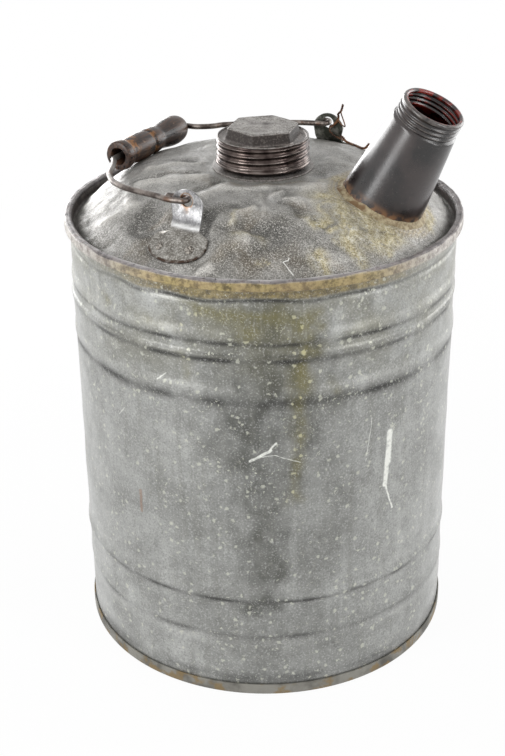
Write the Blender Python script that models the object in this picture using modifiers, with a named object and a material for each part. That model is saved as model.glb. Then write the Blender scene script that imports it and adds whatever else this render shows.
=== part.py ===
"""A galvanised sheet-metal fuel can: beaded body, domed top, screw cap, pouring spout and bail handle.

Metres, +Z up. The origin is the centre of the base on the floor. +X points to the spout, and the two
handle ears stand near -Y (front) and +Y (rear). The handle lies down over -X.
"""

import math

import bmesh
import bpy
import numpy as np
from mathutils import Matrix, Vector

# Can: the body, the folded seams and the domed top
RIM_RADIUS = 0.140
CAN_HEIGHT = 0.3237
SHEET = 0.0008
FOLD_GAP = 0.0005
SEAM_DEPTH = 0.0075
GUTTER_DEPTH = 0.0097
GUTTER_WIDTH = 0.0014
DOME_RISE = 0.0373
DOME_CROWN_RADIUS = 0.035
DOME_FULLNESS = 3.05
DOME_RINGS = 7
BASE_SEAM_HEIGHT = 0.0088
BASE_RECESS = 0.0078
BASE_STEP = 0.0016
BASE_STEP_WIDTH = 0.010
BASE_STEP_RADIUS = 0.110
BEAD_HEIGHT = 0.0012
BEAD_WIDTH = 0.0072
UPPER_BEAD_DROPS = (0.0421, 0.0550, 0.0814)
LOWER_BEAD_LEVELS = (0.0812, 0.0520)
SIDE_SEAM_WIDTH = 0.0085
SIDE_SEAM_HEIGHT = 0.0009
SIDE_SEAM_END = 0.006
SIDE_SEAM_TURN = math.radians(158)

# Clearances, and how far a cutter runs past what it cuts
FIT_GAP = 0.0003
THREAD_GAP = 0.0005
OVERRUN = 0.004
MERGE = 0.000001

# Filler neck and screw cap
THREAD_PITCH = 0.0043
THREAD_DEPTH = 0.0012
THREAD_RISE = 0.0161
THREAD_ROWS = 3
CAP_ROOT_RADIUS = 0.0310
CAP_SHEET = 0.0009
CAP_LIP_HEIGHT = 0.0036
CAP_BEAD_RADIUS = 0.0330
CAP_BEAD_HEIGHT = 0.0014
CAP_RIM_RADIUS = 0.0316
CAP_RIM_HEIGHT = 0.0011
CAP_RIM_WIDTH = 0.0011
CAP_MOAT_DEPTH = 0.0021
HEX_CORNER_RADIUS = 0.0256
HEX_FOOT_SPREAD = 0.0018
HEX_ROUNDING = 0.0006
HEX_HEIGHT = 0.0087
HEX_TURN_COLUMNS = 3.5
GASKET_THICKNESS = 0.0015
GASKET_WIDTH = 0.0037
NECK_WALL = 0.0013
NECK_FLANGE_RADIUS = 0.0350
NECK_FLANGE_THICKNESS = 0.0009
NECK_SLOPE_HEIGHT = 0.0024
NECK_SPIGOT_DEPTH = 0.0025
NECK_LIP_ROUND = 0.0005

# Pouring spout
SPOUT_TILT = math.radians(26.3)
SPOUT_FOOT_INSET = 0.0498
SPOUT_FOOT_SINK = 0.00526
SPOUT_LENGTH = 0.0784
SPOUT_FOOT_RADIUS = 0.0289
SPOUT_SHOULDER_RADIUS = 0.0221
SPOUT_SHOULDER_STEP = 0.0014
SPOUT_SWELL = 0.0003
SPOUT_WALL = 0.0009
SPOUT_THREAD_RADIUS = 0.0204
SPOUT_THREAD_PITCH = 0.0031
SPOUT_THREAD_DEPTH = 0.0009
SPOUT_THREAD_TURNS = 3
SPOUT_LIP_RADIUS = 0.0018
SPOUT_LIP_OVERHANG = 0.0012
SPOUT_FOOT_EXTRA = 0.012
SPOUT_RINGS = 3
SOLDER_WIDTH = 0.0028
SOLDER_HEIGHT = 0.0026

# Handle ears and their rivets. The tab stands in from the can's rim, and the rest reaches out from the tab.
EAR_TURN = math.radians(-2.2)
EAR_SHEET = 0.0015
EAR_TAB_INSET = 0.0434
EAR_HOLE_RISE = 0.0186
EAR_HOLE_RADIUS = 0.0045
EAR_TAB_RADIUS = 0.0125
EAR_TAB_DROP = 0.0056
EAR_WAIST = 0.0214
EAR_FOLD_REACH = 0.0074
EAR_STRIP_HEIGHT = 0.0075
EAR_FOOT_REACH = 0.0154
EAR_FOOT_HALF_LENGTH = 0.0126
EAR_FOOT_HALF_WIDTH = 0.0212
EAR_FOOT_SHIFT = 0.0024
RIVET_REACH = 0.0188
RIVET_SPACING = 0.0222
RIVET_SHANK_RADIUS = 0.0015
RIVET_HEAD_RADIUS = 0.0031
RIVET_HEAD_HEIGHT = 0.0012
RIVET_TAIL_RADIUS = 0.0026
RIVET_TAIL_HEIGHT = 0.0010

# Bail wire and its turned grip. An arm's points are shares of the way from the straight run's end to the
# ear, across, and of the bail's reach.
WIRE_RADIUS = 0.0020
GRIP_INSET = 0.0390
BAIL_RUN_CENTRE = 0.0085
BAIL_RUN_SKEW = math.radians(-0.8)
BAIL_RUN_LENGTH = 0.0845
HOOK_GAP = 0.0005
FRONT_HOOK_LENGTH = 0.017
REAR_HOOK_LENGTH = 0.009
FRONT_ARM_SHARES = (
    (1.054, 0.125), (1.008, 0.225), (0.972, 0.342), (0.926, 0.473), (0.866, 0.580), (0.773, 0.679),
    (0.643, 0.766), (0.517, 0.824), (0.336, 0.882), (0.155, 0.951),
)
REAR_ARM_SHARES = (
    (0.037, 0.970), (0.037, 0.901), (0.081, 0.837), (0.170, 0.770), (0.322, 0.699), (0.583, 0.460),
    (0.821, 0.216),
)
GRIP_LENGTH = 0.0820
GRIP_RADIUS = 0.0107
GRIP_BORE_RADIUS = 0.0029
GRIP_MOUTH_RADIUS = 0.0047
GRIP_MOUTH_DEPTH = 0.0060
GRIP_SHARES = (
    (0.000, 0.900), (0.016, 0.985), (0.066, 1.000), (0.125, 0.850), (0.200, 0.900), (0.305, 0.945),
    (0.400, 0.915), (0.423, 0.835), (0.445, 0.835), (0.462, 0.895), (0.540, 0.885), (0.605, 0.815),
    (0.700, 0.900), (0.800, 0.990), (0.875, 0.985), (0.945, 0.880), (0.985, 0.720), (1.000, 0.560),
)

# Binding wire left on the rear ear. Its points are shares of the tab's radius, across and up from the hole,
# and the end of its run shares of the tab's distance from the can's axis, in plan.
TETHER_RADIUS = 0.00065
TETHER_TAIL_SHARES = (
    (-1.02, 1.26), (-0.91, 0.88), (-0.72, 0.66), (-0.74, 0.46), (-0.65, 0.21), (-0.32, -0.14),
)
TETHER_OUTER_SHARES = ((-0.50, -0.60), (-0.92, -0.86))
TETHER_INNER_SHARES = ((-0.20, -0.49), (-0.52, -0.71), (-0.92, -0.83))
TETHER_KNOT_SHARES = (-1.21, -1.00)
TETHER_PASS_TURN = math.radians(233)
TETHER_RUN_END_SHARES = (0.414, 0.839)
TETHER_CURL = 0.0035

# Facets
CAN_SIDES = 36
THREAD_COLUMNS = 30
SPOUT_COLUMNS = 24
GRIP_SIDES = 14
RIVET_SIDES = 8
CUTTER_SIDES = 16
FOLD_SEGMENTS = 3
BASE_FOLD_SEGMENTS = 3
WIRE_STEPS = 2

# Radii of the sheet's middle in the layers of the folded top seam, from the inside out
LAYER = SHEET + FOLD_GAP
BODY_MID = RIM_RADIUS - SHEET / 2 - 3 * LAYER
CHUCK_MID = BODY_MID - LAYER
HOOK_MID = BODY_MID + LAYER
FLANGE_MID = BODY_MID + 2 * LAYER
RIM_MID = BODY_MID + 3 * LAYER
CREST_CENTRE = CAN_HEIGHT - SHEET / 2 - 2 * LAYER
HEM_CENTRE = CAN_HEIGHT - SEAM_DEPTH + SHEET / 2 + LAYER
GUTTER_LEVEL = CAN_HEIGHT - GUTTER_DEPTH
BEAD_LEVELS = tuple(CAN_HEIGHT - drop for drop in UPPER_BEAD_DROPS) + LOWER_BEAD_LEVELS
DOME_EDGE_RADIUS = CHUCK_MID - GUTTER_WIDTH
DOME_TOP_LEVEL = GUTTER_LEVEL + DOME_RISE

# Levels of the neck, the gasket and the cap, from the dome up
NECK_ROOT_RADIUS = CAP_ROOT_RADIUS - CAP_SHEET - THREAD_GAP
NECK_BORE_RADIUS = NECK_ROOT_RADIUS - NECK_WALL
NECK_SEAT = DOME_TOP_LEVEL + SHEET / 2 + FIT_GAP
NECK_SPIGOT_RADIUS = NECK_BORE_RADIUS + SHEET
NECK_HOLE_RADIUS = NECK_SPIGOT_RADIUS + FIT_GAP
THREAD_DATUM = NECK_SEAT + THREAD_RISE
NECK_THREAD_LOW = THREAD_DATUM - THREAD_PITCH * (2 + 1 / THREAD_ROWS)
NECK_LIP = THREAD_DATUM + 2 * NECK_LIP_ROUND
GASKET_SEAT = NECK_LIP + FIT_GAP
CAP_CEILING = GASKET_SEAT + GASKET_THICKNESS + FIT_GAP
CAP_MOAT = CAP_CEILING + CAP_SHEET
CAP_RIM_TOP = CAP_MOAT + CAP_MOAT_DEPTH
CAP_THREAD_LOW = THREAD_DATUM - 2 * THREAD_PITCH
CAP_THREAD_HIGH = CAP_RIM_TOP - CAP_RIM_HEIGHT
CAP_EDGE = CAP_THREAD_LOW - CAP_LIP_HEIGHT
GASKET_RADIUS = CAP_ROOT_RADIUS - CAP_SHEET - FIT_GAP

# Distances from the can's axis of the spout's foot, the ears, their rivets and the grip
SPOUT_FOOT_X = RIM_RADIUS - SPOUT_FOOT_INSET
EAR_HOLE_FROM_AXIS = RIM_RADIUS - EAR_TAB_INSET
EAR_FOLD_FROM_AXIS = EAR_HOLE_FROM_AXIS + EAR_FOLD_REACH
EAR_FOOT_FROM_AXIS = EAR_HOLE_FROM_AXIS + EAR_FOOT_REACH
RIVET_FROM_AXIS = EAR_HOLE_FROM_AXIS + RIVET_REACH
BAIL_REACH = RIM_RADIUS - GRIP_INSET

# The spout's thread, from its foot
SPOUT_THREAD_HIGH = SPOUT_LENGTH - 2 * SPOUT_LIP_RADIUS
SPOUT_THREAD_LOW = SPOUT_THREAD_HIGH - SPOUT_THREAD_TURNS * SPOUT_THREAD_PITCH

# Reach of the bail's hooks on each side of the ear's tab
FRONT_HOOK_RADIUS = EAR_SHEET / 2 + HOOK_GAP + WIRE_RADIUS
REAR_HOOK_RADIUS = EAR_SHEET / 2 + 2 * FIT_GAP + 2 * TETHER_RADIUS + WIRE_RADIUS


def collection(name):
    """A new collection in the scene."""
    made = bpy.data.collections.new(name)
    bpy.context.scene.collection.children.link(made)
    return made


def finish(name, colour, roughness, metallic):
    """A plain material of one colour."""
    made = bpy.data.materials.new(name)
    made.use_nodes = True
    shader = made.node_tree.nodes["Principled BSDF"]
    shader.inputs["Base Color"].default_value = (*colour, 1)
    shader.inputs["Roughness"].default_value = roughness
    shader.inputs["Metallic"].default_value = metallic
    return made


def placed(name, data, material, parent=None):
    """A part of the can, as an object in its collection."""
    made = bpy.data.objects.new(name, data)
    PARTS.objects.link(made)
    data.materials.append(material)
    made.parent = parent
    return made


def as_cutter(helper):
    """Keeps a helper shape out of the model."""
    for holder in list(helper.users_collection):
        holder.objects.unlink(helper)
    CUTTERS.objects.link(helper)
    helper.hide_render = True
    helper.display_type = "WIRE"
    return helper


def combine(piece, helper, operation, name):
    """Adds a Boolean of piece and helper."""
    modifier = piece.modifiers.new(name, "BOOLEAN")
    modifier.operation = operation
    modifier.solver = "EXACT"
    modifier.object = helper


def beside(path, distance):
    """A path moved sideways by a distance, to the left of its own direction, with mitred corners."""
    path = np.array(path, float)
    runs = np.diff(path, axis=0)
    runs /= np.linalg.norm(runs, axis=1)[:, None]
    before = np.vstack([runs[:1], runs])
    after = np.vstack([runs, runs[-1:]])
    mean = before + after
    normals = np.stack([-mean[:, 1], mean[:, 0]], axis=1)
    normals /= np.linalg.norm(normals, axis=1)[:, None]
    spread = (normals * np.stack([-after[:, 1], after[:, 0]], axis=1)).sum(axis=1)
    return path + normals * (distance / spread)[:, None]


def sheet_outline(path, thickness):
    """Both faces of a sheet whose middle follows path, as one closed outline."""
    return np.vstack([beside(path, thickness / 2), beside(path, -thickness / 2)[::-1]])


def arc(centre, radius, start, end, segments):
    """Points on a circle from one angle to another, in degrees."""
    angles = np.radians(np.linspace(start, end, segments + 1))
    return [(centre[0] + radius * math.cos(a), centre[1] + radius * math.sin(a)) for a in angles]


def turned(name, outline, material, sides, closed=True, parent=None):
    """A solid turned about the object's own Z axis from a radius and height outline."""
    points = np.array(outline, float)
    following = np.roll(points, -1, axis=0)
    if (points[:, 0] * following[:, 1] - points[:, 1] * following[:, 0]).sum() > 0:
        points = points[::-1]
    count = len(points)
    edges = [(i, (i + 1) % count) for i in range(count if closed else count - 1)]
    mesh = bpy.data.meshes.new(name)
    mesh.from_pydata([(r, 0, z) for r, z in points], edges, [])
    made = placed(name, mesh, material, parent)
    screw = made.modifiers.new("turn", "SCREW")
    screw.steps = sides
    screw.render_steps = sides
    screw.use_merge_vertices = True
    screw.merge_threshold = MERGE
    screw.use_smooth_shade = True
    return made


def ring(radius, height, columns):
    """One row of points at one radius and one height."""
    return np.full(columns + 1, float(radius)), np.full(columns + 1, float(height))


def thread_rows(low, high, root, crest, pitch, datum, columns, low_end):
    """Rows of a right-hand thread from high down to low.

    A row climbs one pitch in a turn, so that it ends where the row above it starts. Rows are held
    between low and high, where the thread runs out to low_end and to the root.
    """
    turn = np.arange(columns + 1) / columns
    first = math.floor((low - datum) / pitch * THREAD_ROWS) - THREAD_ROWS
    last = math.ceil((high - datum) / pitch * THREAD_ROWS)
    rows = []
    for k in range(last, first - 1, -1):
        height = np.clip(datum + pitch * (k / THREAD_ROWS + turn), low, high)
        to_high = np.clip((high - height) * THREAD_ROWS / pitch, 0, 1)
        to_low = np.clip((height - low) * THREAD_ROWS / pitch, 0, 1)
        wanted = (crest if k % THREAD_ROWS == 0 else root) * to_high + root * (1 - to_high)
        rows.append((wanted * to_low + low_end * (1 - to_low), height))
    return rows


def wound(name, rows, material, columns, loop, parent=None):
    """A solid whose surface passes through rows of points round the Z axis, welded where rows meet."""
    angle = np.linspace(0, 2 * math.pi, columns + 1)
    radius = np.array([row[0] for row in rows])
    height = np.array([row[1] for row in rows])
    points = np.stack([radius * np.cos(angle), radius * np.sin(angle), height], axis=-1).reshape(-1, 3)
    width = columns + 1
    count = len(rows)
    faces = []
    for i in range(count if loop else count - 1):
        upper, lower = i * width, (i + 1) % count * width
        faces += [(upper + j, lower + j, lower + j + 1, upper + j + 1) for j in range(columns)]
    mesh = bpy.data.meshes.new(name)
    mesh.from_pydata(points.tolist(), [], faces)
    shell = bmesh.new()
    shell.from_mesh(mesh)
    bmesh.ops.remove_doubles(shell, verts=shell.verts, dist=MERGE)
    bmesh.ops.recalc_face_normals(shell, faces=shell.faces)
    shell.to_mesh(mesh)
    shell.free()
    mesh.shade_smooth()
    mesh.set_sharp_from_angle(angle=math.radians(35))
    return placed(name, mesh, material, parent)


def smooth_through(points, steps):
    """A Catmull-Rom curve through points, with steps pieces to a span."""
    known = np.array(points, float)
    padded = np.vstack([2 * known[0] - known[1], known, 2 * known[-1] - known[-2]])
    made = []
    for a, b, c, d in zip(padded, padded[1:], padded[2:], padded[3:]):
        for share in np.arange(steps) / steps:
            made.append(
                (2 * b + (c - a) * share + (2 * a - 5 * b + 4 * c - d) * share**2
                 + (3 * b - a - 3 * c + d) * share**3) / 2
            )
    made.append(known[-1])
    return np.array(made)


def wire(name, points, radius, material, parent=None):
    """A round wire along points."""
    curve = bpy.data.curves.new(name, "CURVE")
    curve.dimensions = "3D"
    curve.bevel_depth = radius
    curve.bevel_resolution = 2
    curve.use_fill_caps = True
    spline = curve.splines.new("POLY")
    spline.points.add(len(points) - 1)
    for point, place in zip(spline.points, points):
        point.co = (*place, 1)
    return placed(name, curve, material, parent)


def as_mesh(piece):
    """The same piece as a mesh with welded caps, in place of its curve."""
    bpy.context.view_layer.update()
    graph = bpy.context.evaluated_depsgraph_get()
    mesh = bpy.data.meshes.new_from_object(piece.evaluated_get(graph))
    shell = bmesh.new()
    shell.from_mesh(mesh)
    bmesh.ops.remove_doubles(shell, verts=shell.verts, dist=MERGE)
    shell.to_mesh(mesh)
    shell.free()
    name, material, place = piece.name, piece.data.materials[0], piece.matrix_world.copy()
    bpy.data.objects.remove(piece)
    mesh.materials.clear()
    made = placed(name, mesh, material)
    made.matrix_world = place
    return made


def bar(name, radius, length, place, direction, sides):
    """A round helper bar centred on place, along direction."""
    mesh = bpy.data.meshes.new(name)
    shape = bmesh.new()
    bmesh.ops.create_cone(
        shape, cap_ends=True, segments=sides, radius1=radius, radius2=radius, depth=length
    )
    shape.to_mesh(mesh)
    shape.free()
    made = placed(name, mesh, ZINC)
    made.matrix_world = Matrix.Translation(place) @ direction.to_track_quat("Z", "X").to_matrix().to_4x4()
    return as_cutter(made)


def dome_path(inner_radius):
    """The middle of the dome's sheet from its edge in to inner_radius."""
    radii = np.linspace(DOME_EDGE_RADIUS, DOME_CROWN_RADIUS, DOME_RINGS + 1)
    outward = (radii - DOME_CROWN_RADIUS) / (DOME_EDGE_RADIUS - DOME_CROWN_RADIUS)
    levels = GUTTER_LEVEL + DOME_RISE * (1 - outward**DOME_FULLNESS)
    return list(zip(radii.tolist(), levels.tolist())) + [(inner_radius, DOME_TOP_LEVEL)]


def dome_level(radius):
    """Height of the middle of the dome's sheet along a corner of its facets."""
    path = np.array(dome_path(0))[::-1]
    return np.interp(radius, path[:, 0], path[:, 1])


def ear_hole_level():
    """Height of the holes in the ears, a set rise over the dome under the ears' folds."""
    return float(dome_level(EAR_FOLD_FROM_AXIS)) + EAR_HOLE_RISE


def dome_facet(x, y):
    """Level of the middle of the dome's sheet over a place in plan, and the outward direction there."""
    facet = 2 * math.pi / CAN_SIDES
    azimuth = (math.floor(math.atan2(y, x) / facet) + 1 / 2) * facet
    reach = (x * math.cos(azimuth) + y * math.sin(azimuth)) / math.cos(facet / 2)
    rise = dome_level(reach - SHEET) - dome_level(reach + SHEET)
    slope = rise / 2 / SHEET / math.cos(facet / 2)
    normal = Vector((slope * math.cos(azimuth), slope * math.sin(azimuth), 1)).normalized()
    return float(dome_level(reach)), normal


def dome_point(x, y, height):
    """The point over a place in plan that stands off the middle of the dome's sheet by height."""
    level, normal = dome_facet(x, y)
    return Vector((x, y, level)) + height * normal


def dome_band(low, high, name):
    """A closed turned helper that fills the space from low to high above the middle of the dome's sheet."""
    path = dome_path(DOME_CROWN_RADIUS / 2)
    outline = np.vstack([beside(path, -low), beside(path, -high)[::-1]])
    return as_cutter(turned(name, outline, ZINC, CAN_SIDES))


def make_body():
    """The beaded cylinder. Its top edge is folded out and down inside the top seam."""
    path = [(FLANGE_MID, HEM_CENTRE)]
    path += arc((HOOK_MID, CREST_CENTRE), LAYER, 0, 180, FOLD_SEGMENTS)
    for level in BEAD_LEVELS:
        path.append((BODY_MID, level + BEAD_WIDTH / 2))
        path.append((BODY_MID + BEAD_HEIGHT, level))
        path.append((BODY_MID, level - BEAD_WIDTH / 2))
    path.append((BODY_MID, base_fold_centre()))
    body = turned("body_shell", sheet_outline(path, SHEET), ZINC, CAN_SIDES)
    low = BASE_SEAM_HEIGHT + SIDE_SEAM_END
    high = HEM_CENTRE - LAYER - SIDE_SEAM_END
    face = BODY_MID * math.cos(math.pi / CAN_SIDES) + SHEET / 2
    seam = bpy.data.meshes.new("side_seam")
    block = bmesh.new()
    bmesh.ops.create_cube(block, size=1)
    depth = SHEET / 2 + SIDE_SEAM_HEIGHT
    bmesh.ops.scale(block, verts=block.verts, vec=(depth, SIDE_SEAM_WIDTH, high - low))
    bmesh.ops.translate(block, verts=block.verts, vec=(face + depth / 2 - SHEET / 2, 0, (low + high) / 2))
    block.to_mesh(seam)
    block.free()
    strip = as_cutter(placed("side_seam_strip", seam, ZINC))
    facet = 2 * math.pi / CAN_SIDES
    strip.rotation_euler.z = (math.floor(SIDE_SEAM_TURN / facet) + 1 / 2) * facet
    combine(body, strip, "UNION", "lock seam")
    return body


def base_fold_centre():
    """Height of the centre of the base's fold, whose lowest facet lies flat on the floor."""
    return LAYER * math.cos(math.pi / 2 / BASE_FOLD_SEGMENTS) + SHEET / 2


def make_bottom():
    """The bottom: a recessed disc whose rim folds down and up round the body's lower edge."""
    centre = (BODY_MID, base_fold_centre())
    path = [(BODY_MID + LAYER, BASE_SEAM_HEIGHT)]
    path += arc(centre, LAYER, 0, -180, BASE_FOLD_SEGMENTS)
    path.append((CHUCK_MID, BASE_RECESS))
    path.append((BASE_STEP_RADIUS + BASE_STEP_WIDTH, BASE_RECESS))
    path.append((BASE_STEP_RADIUS, BASE_RECESS + BASE_STEP))
    path.append((0, BASE_RECESS + BASE_STEP))
    outline = sheet_outline(path, SHEET)
    half = len(outline) // 2
    return turned("bottom_panel", np.roll(outline, -half, axis=0), ZINC, CAN_SIDES, closed=False)


def make_dome():
    """The domed top: its edge stands up, folds over the body's flange and hooks in under it."""
    path = [(HOOK_MID, CREST_CENTRE)]
    path += arc((FLANGE_MID, HEM_CENTRE), LAYER, -180, 0, FOLD_SEGMENTS)
    path += arc((HOOK_MID, CREST_CENTRE), 2 * LAYER, 0, 180, FOLD_SEGMENTS)
    path.append((CHUCK_MID, GUTTER_LEVEL))
    path += dome_path(NECK_HOLE_RADIUS)
    return turned("top_dome", sheet_outline(path, SHEET), DOME_ZINC, CAN_SIDES)


def make_neck():
    """The filler neck: a flange on the dome, a threaded wall and a spigot through the dome's hole."""
    columns = THREAD_COLUMNS
    crest = NECK_ROOT_RADIUS + THREAD_DEPTH
    flange_top = NECK_SEAT + NECK_FLANGE_THICKNESS
    rows = [
        ring(NECK_BORE_RADIUS, NECK_LIP - NECK_LIP_ROUND, columns),
        ring(NECK_BORE_RADIUS + NECK_LIP_ROUND, NECK_LIP, columns),
        ring(NECK_ROOT_RADIUS - NECK_LIP_ROUND, NECK_LIP, columns),
    ]
    rows += thread_rows(
        NECK_THREAD_LOW, THREAD_DATUM, NECK_ROOT_RADIUS, crest, THREAD_PITCH, THREAD_DATUM, columns,
        NECK_ROOT_RADIUS,
    )
    rows += [
        ring(NECK_ROOT_RADIUS, flange_top + NECK_SLOPE_HEIGHT, columns),
        ring(NECK_FLANGE_RADIUS - NECK_FLANGE_THICKNESS, flange_top, columns),
        ring(NECK_FLANGE_RADIUS, NECK_SEAT + NECK_FLANGE_THICKNESS / 2, columns),
        ring(NECK_FLANGE_RADIUS, NECK_SEAT, columns),
        ring(NECK_SPIGOT_RADIUS, NECK_SEAT, columns),
        ring(NECK_SPIGOT_RADIUS, NECK_SEAT - NECK_SPIGOT_DEPTH, columns),
        ring(NECK_BORE_RADIUS, NECK_SEAT - NECK_SPIGOT_DEPTH, columns),
    ]
    return wound("fill_neck", rows, BRONZE, columns, loop=True)


def hexagon(corner_radius, height, columns):
    """One row on a hexagon with rounded corners."""
    sector = 2 * math.pi / 6
    angle = np.linspace(0, 2 * math.pi, columns + 1) - HEX_TURN_COLUMNS * 2 * math.pi / columns
    turn = (angle % sector) - sector / 2
    flat = corner_radius * math.cos(sector / 2)
    return np.minimum(flat / np.cos(turn), corner_radius - HEX_ROUNDING), np.full(columns + 1, float(height))


def make_cap(parent):
    """The screw cap: a pressed hexagon in a moat, a raised rim, a rolled thread and a beaded edge."""
    columns = THREAD_COLUMNS
    crest = CAP_ROOT_RADIUS + THREAD_DEPTH
    top = CAP_MOAT + HEX_HEIGHT
    foot = HEX_CORNER_RADIUS + HEX_FOOT_SPREAD
    rim = CAP_RIM_RADIUS
    rows = [
        ring(0, top, columns),
        hexagon(HEX_CORNER_RADIUS - HEX_ROUNDING, top, columns),
        hexagon(HEX_CORNER_RADIUS + HEX_ROUNDING, top - HEX_ROUNDING, columns),
        hexagon(foot, CAP_MOAT + HEX_ROUNDING, columns),
        ring((foot + rim - 2 * CAP_RIM_WIDTH) / 2 + HEX_ROUNDING, CAP_MOAT, columns),
        ring(rim - CAP_RIM_WIDTH, CAP_RIM_TOP - CAP_RIM_HEIGHT / 2, columns),
        ring(rim - CAP_RIM_WIDTH / 2, CAP_RIM_TOP, columns),
        ring(rim, CAP_RIM_TOP - CAP_RIM_HEIGHT / 2, columns),
    ]
    rows += thread_rows(
        CAP_THREAD_LOW, CAP_THREAD_HIGH, CAP_ROOT_RADIUS, crest, THREAD_PITCH, THREAD_DATUM, columns, crest
    )
    inner_crest = crest - CAP_SHEET
    rows += [
        ring(CAP_BEAD_RADIUS, CAP_EDGE + 2 * CAP_BEAD_HEIGHT / 2, columns),
        ring(CAP_BEAD_RADIUS, CAP_EDGE + CAP_BEAD_HEIGHT / 2, columns),
        ring(CAP_BEAD_RADIUS - CAP_BEAD_HEIGHT / 2, CAP_EDGE, columns),
        ring(inner_crest, CAP_EDGE, columns),
    ]
    inner = thread_rows(
        CAP_THREAD_LOW, THREAD_DATUM, CAP_ROOT_RADIUS - CAP_SHEET, inner_crest, THREAD_PITCH, THREAD_DATUM,
        columns, inner_crest,
    )
    rows += inner[::-1]
    rows += [
        ring(CAP_ROOT_RADIUS - CAP_SHEET, CAP_CEILING, columns),
        hexagon(foot - CAP_SHEET, CAP_CEILING, columns),
        hexagon(HEX_CORNER_RADIUS - CAP_SHEET, top - CAP_SHEET, columns),
        ring(0, top - CAP_SHEET, columns),
    ]
    return wound("fill_cap", rows, BRONZE, columns, loop=False, parent=parent)


def make_gasket(parent):
    """The flat ring that the cap presses on the neck's lip."""
    inner = GASKET_RADIUS - GASKET_WIDTH
    low, high = GASKET_SEAT, GASKET_SEAT + GASKET_THICKNESS
    outline = [(inner, high), (GASKET_RADIUS, high), (GASKET_RADIUS, low), (inner, low)]
    return turned("cap_gasket", outline, CORK, THREAD_COLUMNS, parent=parent)


def spout_radius(along):
    """Outer radius of the spout's cone at a distance from its foot."""
    share = along / (SPOUT_THREAD_LOW - SPOUT_SHOULDER_STEP)
    swell = SPOUT_SWELL * 4 * share * (1 - share) if 0 < share < 1 else 0
    return SPOUT_FOOT_RADIUS + (SPOUT_SHOULDER_RADIUS - SPOUT_FOOT_RADIUS) * share + swell


def make_spout(foot):
    """The spout: a cone with a rolled lip and a thread under it, open from end to end."""
    columns = SPOUT_COLUMNS
    root = SPOUT_THREAD_RADIUS
    lip_centre = (root + SPOUT_LIP_OVERHANG - SPOUT_LIP_RADIUS, SPOUT_LENGTH - SPOUT_LIP_RADIUS)
    rows = [ring(r, z, columns) for r, z in arc(lip_centre, SPOUT_LIP_RADIUS, 180, -45, 5)]
    rows += thread_rows(
        SPOUT_THREAD_LOW, SPOUT_THREAD_HIGH, root, root + SPOUT_THREAD_DEPTH, SPOUT_THREAD_PITCH,
        SPOUT_THREAD_HIGH, columns, root,
    )
    cone = np.linspace(SPOUT_THREAD_LOW - SPOUT_SHOULDER_STEP, 0, SPOUT_RINGS + 1).tolist()
    cone.append(-SPOUT_FOOT_EXTRA)
    rows += [ring(spout_radius(z), z, columns) for z in cone]
    rows += [ring(spout_radius(z) - SPOUT_WALL, z, columns) for z in cone[::-1]]
    rows.append(ring(root - SPOUT_WALL, SPOUT_THREAD_LOW, columns))
    rows.append(ring(root - SPOUT_WALL, SPOUT_THREAD_HIGH, columns))
    spout = wound("spout_tube", rows, SPOUT_BLACK, columns, loop=True, parent=foot)
    under = dome_band(-DOME_RISE, SHEET / 2 + FIT_GAP, "under_spout")
    combine(spout, under, "DIFFERENCE", "foot on the dome")
    return spout


def make_spout_solder(foot):
    """The bead of solder round the spout's foot: a ring on the cone, kept to a band over the dome."""
    stations = np.linspace(-SPOUT_FOOT_EXTRA, SPOUT_FOOT_EXTRA, SPOUT_RINGS)
    near = [(spout_radius(z) + FIT_GAP, z) for z in stations]
    far = [(radius + SOLDER_WIDTH, z) for radius, z in near]
    bead = turned("spout_solder", near + far[::-1], SOLDER, SPOUT_COLUMNS, parent=foot)
    low = SHEET / 2 + FIT_GAP
    combine(bead, dome_band(low, low + SOLDER_HEIGHT, "solder_band"), "INTERSECT", "on the dome")
    return bead


def cut_spout_hole(dome, foot):
    """Opens the dome into the spout, just inside the spout's own wall."""
    stations = (SPOUT_FOOT_EXTRA, -SPOUT_FOOT_EXTRA)
    side = [(spout_radius(z) - SPOUT_WALL - FIT_GAP, z) for z in stations]
    outline = [(0, stations[0])] + side + [(0, stations[1])]
    plug = as_cutter(turned("spout_hole", outline, ZINC, SPOUT_COLUMNS, closed=False, parent=foot))
    combine(dome, plug, "DIFFERENCE", "spout hole")


def on_dome(turn, x, y, height):
    """A point that stands off the dome by height, over a place in a frame turned about the can's axis."""
    plan = turn @ Vector((x, y, 0))
    return turn.inverted() @ dome_point(plan.x, plan.y, height)


def ear_stations(turn):
    """The ear's rows from the outer end of its foot to the top of its tab.

    Each is (from axis, level or None, shift, half width). A level of None lies on the dome, and the
    shift is along the can's edge.
    """
    stations = []
    share = np.sin(np.linspace(-math.pi / 2, math.pi / 2, 13))
    for step in share:
        from_axis = EAR_FOOT_FROM_AXIS - EAR_FOOT_HALF_LENGTH * step
        if from_axis <= EAR_FOLD_FROM_AXIS:
            break
        stations.append((from_axis, None, EAR_FOOT_SHIFT, EAR_FOOT_HALF_WIDTH * math.sqrt(1 - step**2)))
    stations.append((EAR_FOLD_FROM_AXIS, None, EAR_FOOT_SHIFT, EAR_WAIST / 2))
    face = EAR_HOLE_FROM_AXIS - EAR_SHEET / 2
    fold_level = on_dome(turn, EAR_FOLD_FROM_AXIS, EAR_FOOT_SHIFT, SHEET / 2 + FIT_GAP).z
    stations.append((face, fold_level + EAR_STRIP_HEIGHT, EAR_FOOT_SHIFT / 2, EAR_WAIST / 2))
    centre = ear_hole_level() - EAR_TAB_DROP
    for angle in np.radians(np.linspace(-10, 90, 6)):
        half = EAR_TAB_RADIUS * math.cos(angle)
        stations.append((face, centre + EAR_TAB_RADIUS * math.sin(angle), 0, half))
    return stations


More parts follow.
